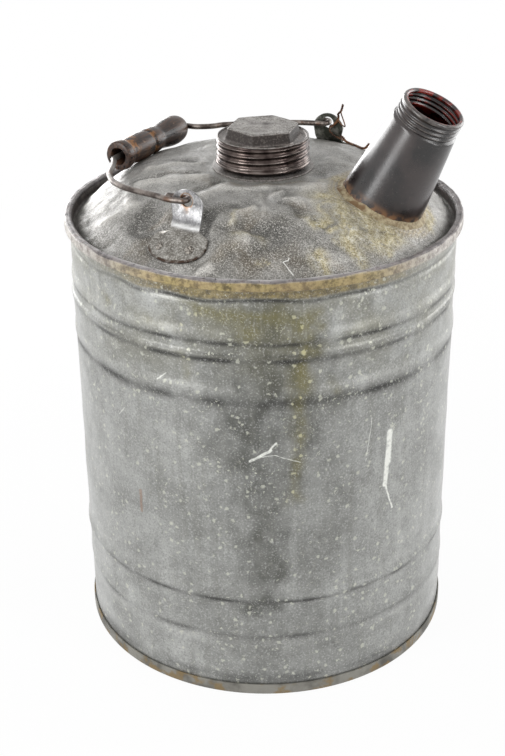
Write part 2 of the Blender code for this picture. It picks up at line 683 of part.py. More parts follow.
def ear_mesh(turn):
    """One ear as a flat strip bent to the dome and up, with its foot towards +X. Both ears share it."""
    columns = 6
    rows = []
    for from_axis, level, shift, half in ear_stations(turn):
        across = shift + half * np.linspace(-1, 1, columns + 1)
        if level is None:
            rows.append([on_dome(turn, from_axis, y, SHEET / 2 + FIT_GAP) for y in across])
        else:
            rows.append([Vector((from_axis, y, level)) for y in across])
    mesh = bpy.data.meshes.new("ear")
    points = [point for row in rows for point in row]
    width = columns + 1
    faces = [
        (i * width + j, i * width + j + 1, (i + 1) * width + j + 1, (i + 1) * width + j)
        for i in range(len(rows) - 1) for j in range(columns)
    ]
    mesh.from_pydata(points, [], faces)
    strip = bmesh.new()
    strip.from_mesh(mesh)
    bmesh.ops.remove_doubles(strip, verts=strip.verts, dist=MERGE)
    bmesh.ops.recalc_face_normals(strip, faces=strip.faces)
    strip.faces.ensure_lookup_table()
    if strip.faces[0].normal.z < 0:
        bmesh.ops.reverse_faces(strip, faces=strip.faces)
    strip.to_mesh(mesh)
    strip.free()
    mesh.materials.append(ZINC)
    return mesh


def rivet_outline():
    """Half a rivet from the middle of its head down, with the dome's middle at height zero."""
    under_head = SHEET / 2 + 2 * FIT_GAP + EAR_SHEET
    under_dome = -SHEET / 2 - FIT_GAP
    return [
        (0, under_head + RIVET_HEAD_HEIGHT),
        (RIVET_HEAD_RADIUS * 3 / 4, under_head + RIVET_HEAD_HEIGHT * 3 / 4),
        (RIVET_HEAD_RADIUS, under_head),
        (RIVET_SHANK_RADIUS, under_head),
        (RIVET_SHANK_RADIUS, under_dome),
        (RIVET_TAIL_RADIUS, under_dome),
        (RIVET_TAIL_RADIUS, under_dome - RIVET_TAIL_HEIGHT),
        (0, under_dome - RIVET_TAIL_HEIGHT),
    ]


def make_ears(dome):
    """Both ears, each with two rivets through the dome."""
    shared = ear_mesh(Matrix.Rotation(EAR_TURN + math.pi / 2, 4, "Z"))
    for name, azimuth in (("front", EAR_TURN - math.pi / 2), ("rear", EAR_TURN + math.pi / 2)):
        turn = Matrix.Rotation(azimuth, 4, "Z")
        ear = bpy.data.objects.new(f"ear_{name}", shared)
        PARTS.objects.link(ear)
        ear.matrix_world = turn
        sheet = ear.modifiers.new("sheet", "SOLIDIFY")
        sheet.thickness = EAR_SHEET
        sheet.offset = 1
        sheet.use_even_offset = True
        hole = bar(
            f"ear_{name}_hole", EAR_HOLE_RADIUS, 2 * OVERRUN,
            turn @ Vector((EAR_HOLE_FROM_AXIS, 0, ear_hole_level())), turn @ Vector((1, 0, 0)), CUTTER_SIDES,
        )
        combine(ear, hole, "DIFFERENCE", "hook hole")
        for side, sign in (("a", -1), ("b", 1)):
            plan = (RIVET_FROM_AXIS, EAR_FOOT_SHIFT + sign * RIVET_SPACING / 2)
            seat = turn @ on_dome(turn, *plan, 0)
            direction = dome_facet(seat.x, seat.y)[1]
            rivet = turned(f"rivet_{name}_{side}", rivet_outline(), ZINC, RIVET_SIDES, closed=False)
            rivet.matrix_world = (
                Matrix.Translation(seat) @ direction.to_track_quat("Z", "X").to_matrix().to_4x4()
            )
            drill = bar(
                f"rivet_{name}_{side}_hole", RIVET_SHANK_RADIUS + FIT_GAP, 2 * OVERRUN, seat, direction,
                RIVET_SIDES,
            )
            combine(ear, drill, "DIFFERENCE", f"rivet hole {side}")
            combine(dome, drill, "DIFFERENCE", f"rivet hole {name} {side}")


def run_direction():
    """Direction of the bail's straight run through the grip, from front to rear, in the bail's frame."""
    return Vector((math.sin(BAIL_RUN_SKEW), math.cos(BAIL_RUN_SKEW), 0))


def run_centre():
    """Middle of the grip on the bail's straight run, in the bail's frame."""
    return Vector((-BAIL_REACH, BAIL_RUN_CENTRE, 0))


def grip_profile():
    """The grip's stations along its length from its middle, and its radius at each."""
    return [((along - 1 / 2) * GRIP_LENGTH, radius * GRIP_RADIUS) for along, radius in GRIP_SHARES]


def grip_clearance(tilt):
    """Least gap between the grip and the dome with the bail at an angle about its pivot."""
    profile = np.linspace(0, DOME_EDGE_RADIUS, 40 * DOME_RINGS)
    surface = dome_level(profile) + SHEET / 2
    least = RIM_RADIUS
    for along, radius in grip_profile():
        place = run_centre() + along * run_direction()
        place = Matrix.Rotation(tilt, 3, "Y") @ place
        from_axis = math.hypot(place.x, place.y)
        gap = np.hypot(from_axis - profile, place.z + ear_hole_level() - surface).min() - radius
        least = min(least, gap)
    return least


def rest_tilt():
    """The angle at which the lowered bail lays its grip on the dome, found by halving."""
    clear, touching = math.radians(20), math.radians(-20)
    for _ in range(40):
        middle = (clear + touching) / 2
        if grip_clearance(middle) > FIT_GAP:
            clear = middle
        else:
            touching = middle
    return clear


def hook(side, radius, length, first_side):
    """A hook's points from its free end round through the ear's hole, in the bail's frame."""
    free = side * (EAR_HOLE_FROM_AXIS - first_side * radius)
    points = [(-length, free), (-(length + radius) / 2, free)]
    for angle in np.radians(np.linspace(90, -90, 7)):
        across = side * (EAR_HOLE_FROM_AXIS - first_side * radius * math.sin(angle))
        points.append((-radius + radius * math.cos(angle), across))
    return points


def arm(side, shares):
    """An arm's points on one side of the bail, in its frame."""
    start = BAIL_RUN_LENGTH / 2 + side * BAIL_RUN_CENTRE
    span = EAR_HOLE_FROM_AXIS - start
    return [(-reach * BAIL_REACH, side * (start + across * span)) for across, reach in shares]


def bail_points():
    """The bail's middle line from the front hook's end to the rear hook's end."""
    run = BAIL_RUN_LENGTH / 2 * run_direction()
    centre = run_centre()
    front = hook(-1, FRONT_HOOK_RADIUS, FRONT_HOOK_LENGTH, 1)
    rear = hook(1, REAR_HOOK_RADIUS, REAR_HOOK_LENGTH, -1)[::-1]
    straight = [(centre - run)[:2], centre[:2], (centre + run)[:2]]
    flat = front[:-1] + arm(-1, FRONT_ARM_SHARES) + straight + arm(1, REAR_ARM_SHARES) + rear[1:]
    return [(x, y, 0) for x, y in smooth_through(flat, WIRE_STEPS)]


def make_bail(pivot):
    """The bail wire, hooked through both ears, and the wooden grip on it."""
    wire("bail_wire", bail_points(), WIRE_RADIUS, WIRE_STEEL, pivot)
    outer = [(radius, along) for along, radius in grip_profile()]
    half = GRIP_LENGTH / 2
    bore = [
        (GRIP_MOUTH_RADIUS, half), (GRIP_BORE_RADIUS, half - GRIP_MOUTH_DEPTH),
        (GRIP_BORE_RADIUS, -half + GRIP_MOUTH_DEPTH), (GRIP_MOUTH_RADIUS, -half),
    ]
    grip = turned("bail_grip", outer + bore, WOOD, GRIP_SIDES, parent=pivot)
    grip.location = run_centre()
    grip.rotation_mode = "QUATERNION"
    grip.rotation_quaternion = run_direction().to_track_quat("Z", "X")


def make_tether():
    """Binding wire looped through the rear ear's hole and round its edge: a tail, and a run to the dome."""
    face = EAR_SHEET / 2 + FIT_GAP + TETHER_RADIUS
    clear = EAR_HOLE_RADIUS * math.cos(math.pi / CUTTER_SIDES) - TETHER_RADIUS - 2 * FIT_GAP
    passing = (clear * math.cos(TETHER_PASS_TURN), clear * math.sin(TETHER_PASS_TURN))
    turn = Matrix.Rotation(EAR_TURN + math.pi / 2, 4, "Z")

    def place(off_sheet, across, up):
        return turn @ Vector((EAR_HOLE_FROM_AXIS + off_sheet, across, ear_hole_level() + up))

    def row(off_sheet, shares):
        return [place(off_sheet, across * EAR_TAB_RADIUS, up * EAR_TAB_RADIUS) for across, up in shares]

    knot = row(0, [TETHER_KNOT_SHARES])
    run_end = [share * EAR_HOLE_FROM_AXIS for share in TETHER_RUN_END_SHARES]
    end = dome_point(*run_end, SHEET / 2 + FIT_GAP + TETHER_RADIUS)
    middle = (knot[0] + end) / 2
    middle = dome_point(middle.x, middle.y, SHEET / 2 + 2 * FIT_GAP + TETHER_RADIUS)
    curl = end + Vector((TETHER_CURL, TETHER_CURL / 3, TETHER_CURL))
    through = [place(-EAR_SHEET / 2, *passing), place(EAR_SHEET / 2, *passing)]
    turned_out = [place(face, passing[0] * 9 / 8, passing[1] * 9 / 8)]
    main = row(-face, TETHER_TAIL_SHARES) + through + turned_out + row(face, TETHER_OUTER_SHARES)
    main += knot + [middle, end, curl]
    tether = as_mesh(wire("tether_wire", smooth_through(main, WIRE_STEPS), TETHER_RADIUS, RUSTY_WIRE))
    start = [place(0, *passing), place(-face, passing[0] * 9 / 8, passing[1] * 9 / 8)]
    strand = smooth_through(start + row(-face, TETHER_INNER_SHARES) + knot, WIRE_STEPS)
    helper = as_cutter(as_mesh(wire("tether_strand", strand, TETHER_RADIUS * 7 / 8, RUSTY_WIRE)))
    combine(tether, helper, "UNION", "second strand")


def empty(name, place, turn):
    """A frame that parts hang from."""
    made = bpy.data.objects.new(name, None)
    PARTS.objects.link(made)
    made.location = place
    made.rotation_euler = turn
    return made


for old in list(bpy.data.objects):
    bpy.data.objects.remove(old)

PARTS = collection("fuel_can")
CUTTERS = collection("cutters")
ZINC = finish("galvanised_body", (0.30, 0.31, 0.31), 0.55, 0.6)
DOME_ZINC = finish("galvanised_dome", (0.33, 0.33, 0.32), 0.6, 0.5)
BRONZE = finish("bronzed_steel", (0.10, 0.085, 0.075), 0.4, 0.8)
CORK = finish("cork_gasket", (0.20, 0.13, 0.08), 0.9, 0)
SPOUT_BLACK = finish("black_spout", (0.045, 0.04, 0.04), 0.3, 0.5)
SOLDER = finish("old_solder", (0.36, 0.33, 0.24), 0.7, 0.3)
WIRE_STEEL = finish("bail_steel", (0.16, 0.14, 0.13), 0.45, 0.8)
WOOD = finish("dark_wood", (0.09, 0.06, 0.045), 0.5, 0)
RUSTY_WIRE = finish("rusty_wire", (0.11, 0.06, 0.045), 0.7, 0.4)

make_body()
make_bottom()
top_dome = make_dome()
make_neck()

cap_axis = empty("cap_axis", (0, 0, 0), (0, 0, 0))
make_gasket(cap_axis)
make_cap(cap_axis)

spout_sunk = float(dome_level(SPOUT_FOOT_X)) - SPOUT_FOOT_SINK
spout_foot = empty("spout_foot", (SPOUT_FOOT_X, 0, spout_sunk), (0, SPOUT_TILT, 0))
cut_spout_hole(top_dome, spout_foot)
make_spout(spout_foot)
make_spout_solder(spout_foot)
make_ears(top_dome)

bail_pivot = empty("bail_pivot", (0, 0, ear_hole_level()), (0, 0, 0))
bail_pivot.matrix_world = (
    Matrix.Translation((0, 0, ear_hole_level()))
    @ Matrix.Rotation(EAR_TURN, 4, "Z")
    @ Matrix.Rotation(rest_tilt(), 4, "Y")
)
make_bail(bail_pivot)
make_tether()
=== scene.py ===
"""Looks of an old galvanised fuel can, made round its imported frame.

Metres, +Z up. The origin is the centre of the base on the floor, and +X points to the spout.
"""

import math

import bmesh
import bpy
import numpy as np
from mathutils import Matrix, Vector


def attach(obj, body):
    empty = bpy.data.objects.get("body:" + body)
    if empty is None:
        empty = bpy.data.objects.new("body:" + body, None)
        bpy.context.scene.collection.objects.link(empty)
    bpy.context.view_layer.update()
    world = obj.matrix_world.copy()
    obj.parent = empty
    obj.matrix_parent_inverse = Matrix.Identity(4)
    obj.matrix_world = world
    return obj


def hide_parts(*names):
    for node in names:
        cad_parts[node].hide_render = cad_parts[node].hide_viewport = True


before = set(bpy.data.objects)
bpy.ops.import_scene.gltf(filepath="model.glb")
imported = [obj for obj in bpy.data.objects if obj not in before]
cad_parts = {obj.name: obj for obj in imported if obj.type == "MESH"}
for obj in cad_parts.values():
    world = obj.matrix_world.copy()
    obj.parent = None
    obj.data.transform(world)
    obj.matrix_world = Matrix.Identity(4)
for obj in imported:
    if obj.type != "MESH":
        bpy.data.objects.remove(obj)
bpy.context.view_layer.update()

# Photograph: its size and the camera that fits it
PHOTO_WIDTH = 505
PHOTO_HEIGHT = 756
PHOTO_FOCUS_PX = 1430.07
SENSOR = 36.0
CAMERA_TARGET = (-0.0080, -0.0044, 0.1862)
CAMERA_DISTANCE = 1.0690
CAMERA_AZIMUTH = math.radians(-61.2)
CAMERA_ELEVATION = math.radians(26.923)
CAMERA_ROLL = math.radians(-0.67)

# Light: the white room's strength on dull surfaces; the floor's reach, colour and own white, and from where
# to where that white becomes full; and each lamp's name, place, aim, size and power
ROOM_LEVEL = 0.32
FLOOR_REACH = 4.0
FLOOR_COLOUR = (0.9, 0.9, 0.9, 1)
FLOOR_WHITE_SHARE = 0.95
FLOOR_FADE = (0.35, 0.95)
WHITE = (1, 1, 1, 1)
LAMPS = (
    ("key_lamp", (-0.52, -1.22, 0.75), (0.0, 0.0, 0.25), (0.50, 1.2), 13.0),
    ("fill_lamp", (1.30, -0.21, 0.70), (0.0, 0.0, 0.25), (0.34, 1.2), 7.5),
    ("left_lamp", (-1.15, 0.60, 0.33), (0.0, 0.0, 0.14), (1.2, 0.64), 15.0),
    ("right_lamp", (0.75, 1.10, 0.45), (0.0, 0.0, 0.20), (1.1, 0.9), 10.0),
)

# A whole turn. Points closer than MERGE are one, ON_AXIS stands for no radius, and an edge that turns more
# than EDGE_TURN is sharp.
FULL_TURN = 2 * math.pi
MERGE = 0.000001
ON_AXIS = MERGE / 10
EDGE_TURN = math.radians(40)

# Wires: where the side of their frames starts, and the rows of their rounded ends, in degrees
SWEEP_START = (0.31, 0.17, 0.93)
TWIST_START = (0.21, 0.53, 0.82)
SWEEP_END_TURNS = (35, 65, 90)

# Columns of the turned surfaces, and sides of the wires
WALL_COLUMNS = 360
DOME_COLUMNS = 400
BASE_COLUMNS = 200
CAP_COLUMNS = 240
SPOUT_COLUMNS = 160
GRIP_COLUMNS = 96
GASKET_COLUMNS = 96
RIVET_COLUMNS = 32
HOLE_COLUMNS = 48
BAIL_SIDES = 20
TETHER_SIDES = 10

# Azimuths, in degrees, between which the can's front is most weathered and its painted shade and highlight
# are
# strongest: start, full, still full and end
FRONT_TURNS = (-118, -88, -38, -8)

# Wall. Here and below, RIPPLES are layers of smooth noise: rise, size and seed. A FADE is where something
# starts and where it is full, and ROWS are a first level, a last one and their number.
SHEET = 0.0008
WALL_RADIUS = 0.1361
WALL_TOP = 0.3160
WALL_FOOT = 0.0022
WALL_FOOT_FADE = (0.012, 0.03)
WALL_HEAD_FADE = (0.300, 0.314)
WALL_RIPPLES = ((0.00030, 0.6, 21), (0.00012, 0.2, 22))
WALL_ROW_STEP = 0.004
WALL_ROW_FINE_STEP = 0.0009
WALL_ROW_FINE_REACH = 0.009
WALL_ROW_LEAST = 0.0007
WALL_INSIDE_ROWS = (0.02, 0.30, 12)
# The tuck under the rim: level, depth, half width, and the line of painted shade in it
TUCK_LEVEL = 0.3080
TUCK_DEPTH = 0.0006
TUCK_WIDTH = 0.0022
TUCK_RIPPLES = ((0.0003, 0.8, 23),)
TUCK_PAINT_RIPPLES = ((0.0006, 0.05, 37),)
TUCK_SHADE_WIDTH = 0.0014
TUCK_SHADE_LEAST = 0.35
OCHRE_FADE = (0.0008, 0.0030)
OCHRE_LEAST = 0.08
# Rolled beads: level of the crest, height, and reach above and below it
BEADS = (
    (0.2818, 0.0008, 0.0075, 0.0040), (0.2692, 0.0010, 0.0040, 0.0042), (0.2418, 0.0009, 0.0080, 0.0066),
    (0.0815, 0.0008, 0.0050, 0.0034), (0.0520, 0.0006, 0.0065, 0.0040),
)
BEAD_SHARPNESS = 1.5
BEAD_WAVE = (0.0004, 1.1)
BEAD_SEED = 24
# Bands along the wall, of painted shade under the beads and above the base, and of painted highlight on the
# beads: level, half width and strength. BAND_PATCHES makes them uneven, with a mean, the least and layers of
# noise.
WALL_SHADE_BANDS = (
    (0.2781, 0.0018, 1.0), (0.2706, 0.0012, 0.6), (0.2663, 0.0024, 1.0), (0.2362, 0.0036, 1.0),
    (0.0803, 0.0018, 0.95), (0.0503, 0.0022, 0.65), (0.0128, 0.0045, 0.60),
)
WALL_HIGHLIGHT_BANDS = (
    (0.2852, 0.0024, 0.40), (0.2820, 0.0010, 0.20), (0.2455, 0.0028, 0.25), (0.0910, 0.0040, 0.25),
    (0.0440, 0.0025, 0.30),
)
BAND_PATCHES = (0.75, 0.3, ((0.25, 0.05, 36),))
SIDE_SEAM_TURN = math.radians(155)
SIDE_SEAM_WIDTH = 0.0085
SIDE_SEAM_HEIGHT = 0.0008
SIDE_SEAM_EDGE = 0.0008

# Dome and its folded rim. A PROFILE is distances from the axis and levels. RIM_PROFILE runs from the rim's
# foot out, over its top and down to the gutter, and RIM_BACK_PROFILE is the fold's other face.
GUTTER_LEVEL = 0.3140
DOME_EDGE_RADIUS = 0.1330
DOME_CROWN_RADIUS = 0.0350
DOME_RISE = 0.0373
DOME_FULLNESS = 3.05
DOME_HOLE_RADIUS = 0.0294
DOME_ROWS = 84
DOME_UNDER_STEP = 3
DOME_HALVINGS = 30
RIM_PROFILE = (
    (0.1366, 0.3162), (0.1394, 0.3162), (0.1400, 0.3168), (0.1400, 0.3207), (0.1398, 0.3225),
    (0.1386, 0.3237), (0.1362, 0.3237), (0.1348, 0.3227), (0.1342, 0.3211), (0.1340, 0.3156),
    (0.1332, 0.3142),
)
RIM_BACK_PROFILE = ((0.1334, 0.3134), (0.1345, 0.3138), (0.1348, 0.3150), (0.1348, 0.3162))
RIM_SPACING = 0.0012
RIM_FADE = (0.3170, 0.3200)
RIM_WEAR_RIPPLES = ((0.5, 0.35, 15), (0.5, 0.08, 16))
RIM_WEAR_MEAN = 0.6
RIM_WEAR_DEPTH = 0.00028
RIM_PINCH_RIPPLES = ((0.5, 0.5, 17),)
RIM_PINCH_MEAN = 0.5
RIM_PINCH_SHARE = 0.0012
# The rim's paints, by distance from the axis and by level: where each starts and is full, or for crest
# (scraped zinc and painted highlight) and edge (painted shade) the middle and half width of their distance
RIM_PAINT = ((0.1336, 0.1342), (0.3150, 0.3170))
FACE_PAINT = ((0.1370, 0.1384), (0.3219, 0.3229))
CREST_PAINT = ((0.1360, 0.0024), (0.3213, 0.3227))
INNER_SHADE_PAINT = ((0.1341, 0.0006), (0.3207, 0.3217))
FACE_RIPPLES = ((0.0003, 0.2, 18),)
CREST_LEAST = 0.3
DOME_RIPPLES = ((0.00030, 0.030, 11), (0.00012, 0.012, 12))
DOME_HOLD = 0.006
# Creases: how far noise bends their lines, its size and seed; a gain; and the depths and rises between which
# painted shade in the hollows and painted highlight on the ridges are laid
CREASE_BEND = (0.0012, 0.02, 13)
CREASE_GAIN = 1.5
HOLLOW_SHADE_FADE = (0.0, 0.0016)
RIDGE_HIGHLIGHT_FADE = (0.0004, 0.0016)
# Crumbs of crust: height, size and seed of their lumps, and seed and push of their outline
CRUMB_HEIGHT = 0.0022
CRUMB_LUMPS = ((0.5, 0.0045, 19),)
CRUMB_EDGE = (20, 0.001)
# The tan film on the dome round the spout's foot: its width, and the lines in it
FOOT_FILM_WIDTH = 0.0120
FOOT_FILM_RIPPLES = ((0.0003, 0.02, 49),)
FOOT_LINE_SPACING = 0.0028
FOOT_LINE_WIDTH = 0.0004
FOOT_LINE_CONTRAST = 0.3

# Base: its fold round the wall's foot, the recessed panel and the step in it
BASE_FOLD_CENTRE = (0.1357, 0.00153)
BASE_FOLD_RADIUS = 0.0013
BASE_FOLD_TURNS = (0, -180, 9)
BASE_SEAM_HEIGHT = 0.0088
BASE_PANEL_RADIUS = 0.1344
BASE_RECESS = 0.0078
BASE_STEP = 0.0016
BASE_STEP_RADIUS = 0.112
BASE_STEP_WIDTH = 0.008
BASE_AXIS_RADIUS = 0.00002
BASE_SPACING = 0.006

# Filler neck, gasket and cap
THREAD_PITCH = 0.0043
THREAD_DEPTH = 0.0012
THREAD_DATUM = 0.3681
THREAD_SHARPNESS = 1.3
NECK_TURNS = 2.4
NECK_ROOT_RADIUS = 0.0296
NECK_FLANGE_RADIUS = 0.0350
NECK_LIP_PROFILE = ((0.0283, 0.3685), (0.0287, 0.3691), (0.0292, 0.3691))
NECK_WALL_ROWS = (0.3685, 0.3553, 60)
NECK_FOOT_PROFILE = (
    (0.0304, 0.3541), (0.0318, 0.3533), (0.0340, 0.3529), (0.0347, 0.3528), (0.0350, 0.3525),
    (0.0350, 0.3518), (0.0291, 0.3518), (0.0291, 0.3495), (0.0283, 0.3495),
)
NECK_DUST_FADE = (0.3533, 0.3545)
NECK_DUST = 0.5
CAP_ROOT_RADIUS = 0.0310
CAP_SHEET = 0.0009
CAP_EDGE = 0.3559
CAP_CEILING = 0.3712
CAP_MOAT = 0.3721
CAP_TOP = 0.3808
CAP_RIM_INSIDE = 0.0304
CAP_TURNS = 2
CAP_THREAD_ROWS = (0.3727, 0.3577, 96)
CAP_INSIDE_ROWS = (0.3569, 0.3702, 72)
CAP_SKIRT_FADE = (-0.0012, 0.0004)
CAP_RIM_PROFILE = (
    (0.0304, 0.3731), (0.0305, 0.3739), (0.0308, 0.3742), (0.0313, 0.3742), (0.0316, 0.3739),
    (0.0316, 0.3734), (0.0311, 0.3729),
)
CAP_EDGE_PROFILE = ((0.0326, 0.3573), (0.0330, 0.3568), (0.0330, 0.3564), (0.0326, 0.3559), (0.0313, 0.3559))
# Rows of the cap's moat: share of the way out from the hexagon's foot, and height over the moat's bottom
CAP_MOAT_ROWS = ((0.15, 0.0005), (0.35, 0.0001), (0.6, 0.0), (0.85, 0.0003))
# The hexagon: its corner's radius, how far its foot spreads, its turn, the power that rounds its corners, its
# rows as shares of its radius, the sag and wear of its top, and its bevel's rows, each an inset and a drop
HEX_CORNER_RADIUS = 0.0256
HEX_FOOT_SPREAD = 0.0018
HEX_FOOT_CURVE = 1.6
HEX_TURN = math.radians(42)
HEX_SHARPNESS = 34
HEX_ROW_SHARES = (0.12, 0.25, 0.4, 0.55, 0.7, 0.82, 0.91, 0.965)
HEX_SIDE_ROWS = (0.1, 1, 9)
HEX_SAG = 0.0004
HEX_RIPPLES = ((0.00012, 0.5, 51),)
HEX_DROP = 0.0009
HEX_BEVEL = ((0.0016, 0.0), (0.0010, 0.00015), (0.0005, 0.0004), (0.0001, HEX_DROP))
# Where the cap's paints start and are full, by distance from the axis and then by level
CAP_OUTSIDE_FADE = (0.0306, 0.0310)
CAP_TOP_FADE = (0.3800, 0.3806)
CAP_MOAT_FADE = (0.3718, 0.3721)
CAP_MOAT_END = (0.3727, 0.3741)
CAP_SIDE_FADE = (0.3729, 0.3741)
CAP_RIM_FADE = (0.3736, 0.3740)
CAP_RIM_DUST = 0.65
CAP_MOAT_DUST = 0.35
# The painted highlight on the thread's crests: where it starts, as a share of the depth, and its mean and
# noise
CAP_HIGHLIGHT_START = 0.75
CAP_HIGHLIGHT_MEAN = 0.45
CAP_HIGHLIGHT_RIPPLES = ((0.4, 0.3, 52),)
GASKET_LEVELS = (0.3694, 0.3709)
GASKET_RADII = (0.0261, 0.0298)
GASKET_SPACING = 0.0006

# Spout, in its own frame with its foot at zero
SPOUT_TILT = math.radians(26.3)
SPOUT_FOOT = (0.0902, 0.0, 0.3395)
SPOUT_LENGTH = 0.0784
SPOUT_FOOT_RADIUS = 0.0289
SPOUT_FOOT_SEARCH = 0.020
SPOUT_FOOT_HALVINGS = 24
SPOUT_SHOULDER_RADIUS = 0.0221
SPOUT_SHOULDER = 0.0641
SPOUT_SHOULDER_PROFILE = ((0.0212, 0.0649), (0.0218, 0.0644))
SPOUT_THREAD_RADIUS = 0.0205
SPOUT_THREAD_LOW = 0.0655
SPOUT_THREAD_HIGH = 0.0748
SPOUT_THREAD_PITCH = 0.0031
SPOUT_THREAD_DEPTH = 0.0009
SPOUT_LIP_RADIUS = 0.0018
SPOUT_LIP_CENTRE = 0.0198
SPOUT_LIP_ROWS = (200, -50, 18)
SPOUT_LIP_WAVE = (0.92, 0.03, 5)
SPOUT_WALL = 0.0009
SPOUT_NECK_ROWS = (0.0746, 0.0655, 60)
SPOUT_NECK_INSIDE_ROWS = (0.0655, 0.0748, 30)
SPOUT_CONE_ROWS = 44
SPOUT_CONE_INSIDE_ROWS = 16
SPOUT_RIPPLES = ((0.00012, 1.2, 61),)
# Its paints: the inside by distance from the outer face, painted shade deep inside along the axis, rust above
# the dome, and wear on the lip and the crests of the thread
SPOUT_INSIDE_FADE = (-0.0007, -0.0004)
SPOUT_SHADE_FADE = (0.058, 0.068)
SPOUT_SHADE_RIPPLES = ((0.002, 0.02, 64),)
SPOUT_RUST_FADE = (0.0030, 0.0100)
SPOUT_CREST_START = 0.7
SPOUT_LIP_WEAR = 0.7
SPOUT_RIDGE_WEAR = 0.5
# The plug that cuts the dome under it: its profile, in the spout's frame, and its columns
SPOUT_HOLE_PROFILE = ((0.00001, 0.012), (0.0267, 0.012), (0.0290, -0.012), (0.00001, -0.012))
SPOUT_HOLE_COLUMNS = 64
# The fillet of solder round its foot: size, lumps and their limits, overlaps and the hollow of its face
SOLDER_WIDTH = 0.0030
SOLDER_HEIGHT = 0.0024
SOLDER_RIPPLES = ((0.08, 0.5, 62), (0.04, 0.12, 63))
SOLDER_LIMITS = (0.5, 1.4)
SOLDER_PROUD = 0.00005
SOLDER_LIFT = 0.0001
SOLDER_SINK = 0.0003
SOLDER_INSET = 0.0002
SOLDER_HOLLOW = 0.22
SOLDER_ROWS = 10

# Ears and rivets, in a frame turned so that +X runs out through the ear
EAR_TURN = math.radians(-2.2)
EAR_SHEET = 0.0015
EAR_HOLE_FROM_AXIS = 0.0966
EAR_HOLE_LEVEL = 0.3570
EAR_HOLE_RADIUS = 0.0045
EAR_TAB_RADIUS = 0.0125
EAR_TAB_DROP = 0.0056
EAR_TAB_TURNS = (12, 90, 22)
EAR_WAIST = 0.0214
EAR_FOLD_FROM_AXIS = 0.1040
EAR_RISE_SHARES = (0.15, 0.40, 0.65)
EAR_FOOT_FROM_AXIS = 0.1120
EAR_FOOT_HALF_LENGTH = 0.0126
EAR_FOOT_HALF_WIDTH = 0.0212
EAR_FOOT_SHIFT = 0.0024
EAR_FOOT_ROWS = 56
EAR_FOOT_COLUMNS = 33
EAR_GAP = 0.0003
EAR_EDGE_TURN = math.radians(35)
EAR_BEVEL_TURN = math.radians(50)
# The ear's paints, by height over its hole: where the tab starts, and the painted highlight on the fold and
# the painted shade over it, each a level and half width; then the rust, by distance from the hole's edge, and
# the outline of the foot
EAR_TAB_FADE = (-0.017, -0.013)
EAR_FOLD_HIGHLIGHT = (-0.0158, 0.0010)
EAR_SHADE = (-0.0128, 0.0016)
EAR_RUST_FADE = (0.0001, 0.0009)
EAR_OUTLINE_FADE = (0.965, 1.0)
RIVET_FROM_AXIS = 0.1154
RIVET_SPACING = 0.0222
# A rivet's head, as shares of its radius and height, and its shank and tail under the dome
RIVET_HEAD_RADIUS = 0.0030
RIVET_HEAD_HEIGHT = 0.0009
RIVET_HEAD_SHARES = ((0.25, 0.5), (0.55, 1), (0.8, 0.8), (1, 0.2), (1, 0))
RIVET_DIMPLE_SHARE = 0.45
RIVET_SHANK_RADIUS = 0.0015
RIVET_TAIL_PROFILE = ((0.0026, 0.0001), (0.0024, 0.0010), (ON_AXIS, 0.0011))
RIVET_LIFT = 0.0001

# Bail and grip, in the bail's frame. An arm's points are shares of the way from the straight run's end to
# the ear, across, and of the bail's reach.
WIRE_RADIUS = 0.0020
BAIL_TILT = math.radians(-2.978)
BAIL_REACH = 0.1010
BAIL_RUN_CENTRE = 0.0085
BAIL_RUN_SKEW = math.radians(-0.8)
BAIL_RUN_LENGTH = 0.0845
BAIL_STEPS = 8
FRONT_HOOK_RADIUS = 0.00325
REAR_HOOK_RADIUS = 0.00465
FRONT_HOOK_LENGTH = 0.017
REAR_HOOK_LENGTH = 0.009
HOOK_POINTS = 13
FRONT_ARM_SHARES = (
    (1.054, 0.125), (1.008, 0.225), (0.972, 0.342), (0.926, 0.473), (0.866, 0.580), (0.773, 0.679),
    (0.643, 0.766), (0.517, 0.824), (0.336, 0.882), (0.155, 0.951),
)
REAR_ARM_SHARES = (
    (0.037, 0.970), (0.037, 0.901), (0.081, 0.837), (0.170, 0.770), (0.322, 0.699), (0.583, 0.460),
    (0.821, 0.216),
)
BAIL_WORN_REACH = (0.070, 0.095)
BAIL_WORN_ACROSS = (0.028, 0.040)
GRIP_LENGTH = 0.0820
GRIP_RADIUS = 0.0107
GRIP_STEPS = 4
GRIP_EDGE_TURN = math.radians(50)
GRIP_BORE_RADIUS = 0.0029
GRIP_MOUTH_RADIUS = 0.0049
GRIP_MOUTH_DEPTH = 0.0080
# The grip's outside: share of its length, and of its radius
GRIP_SHARES = (
    (0.000, 0.800), (0.004, 0.920), (0.016, 0.985), (0.040, 1.000), (0.066, 0.995), (0.088, 0.940),
    (0.106, 0.868), (0.125, 0.850), (0.150, 0.870), (0.200, 0.905), (0.250, 0.930), (0.305, 0.945),
    (0.360, 0.935), (0.400, 0.915), (0.413, 0.885), (0.423, 0.835), (0.445, 0.830), (0.455, 0.870),
    (0.466, 0.900), (0.500, 0.905), (0.540, 0.885), (0.575, 0.840), (0.605, 0.815), (0.640, 0.835),
    (0.700, 0.900), (0.750, 0.955), (0.800, 0.990), (0.840, 0.998), (0.875, 0.985), (0.915, 0.940),
    (0.945, 0.880), (0.970, 0.790), (0.985, 0.700), (0.995, 0.600), (1.000, 0.500),
)
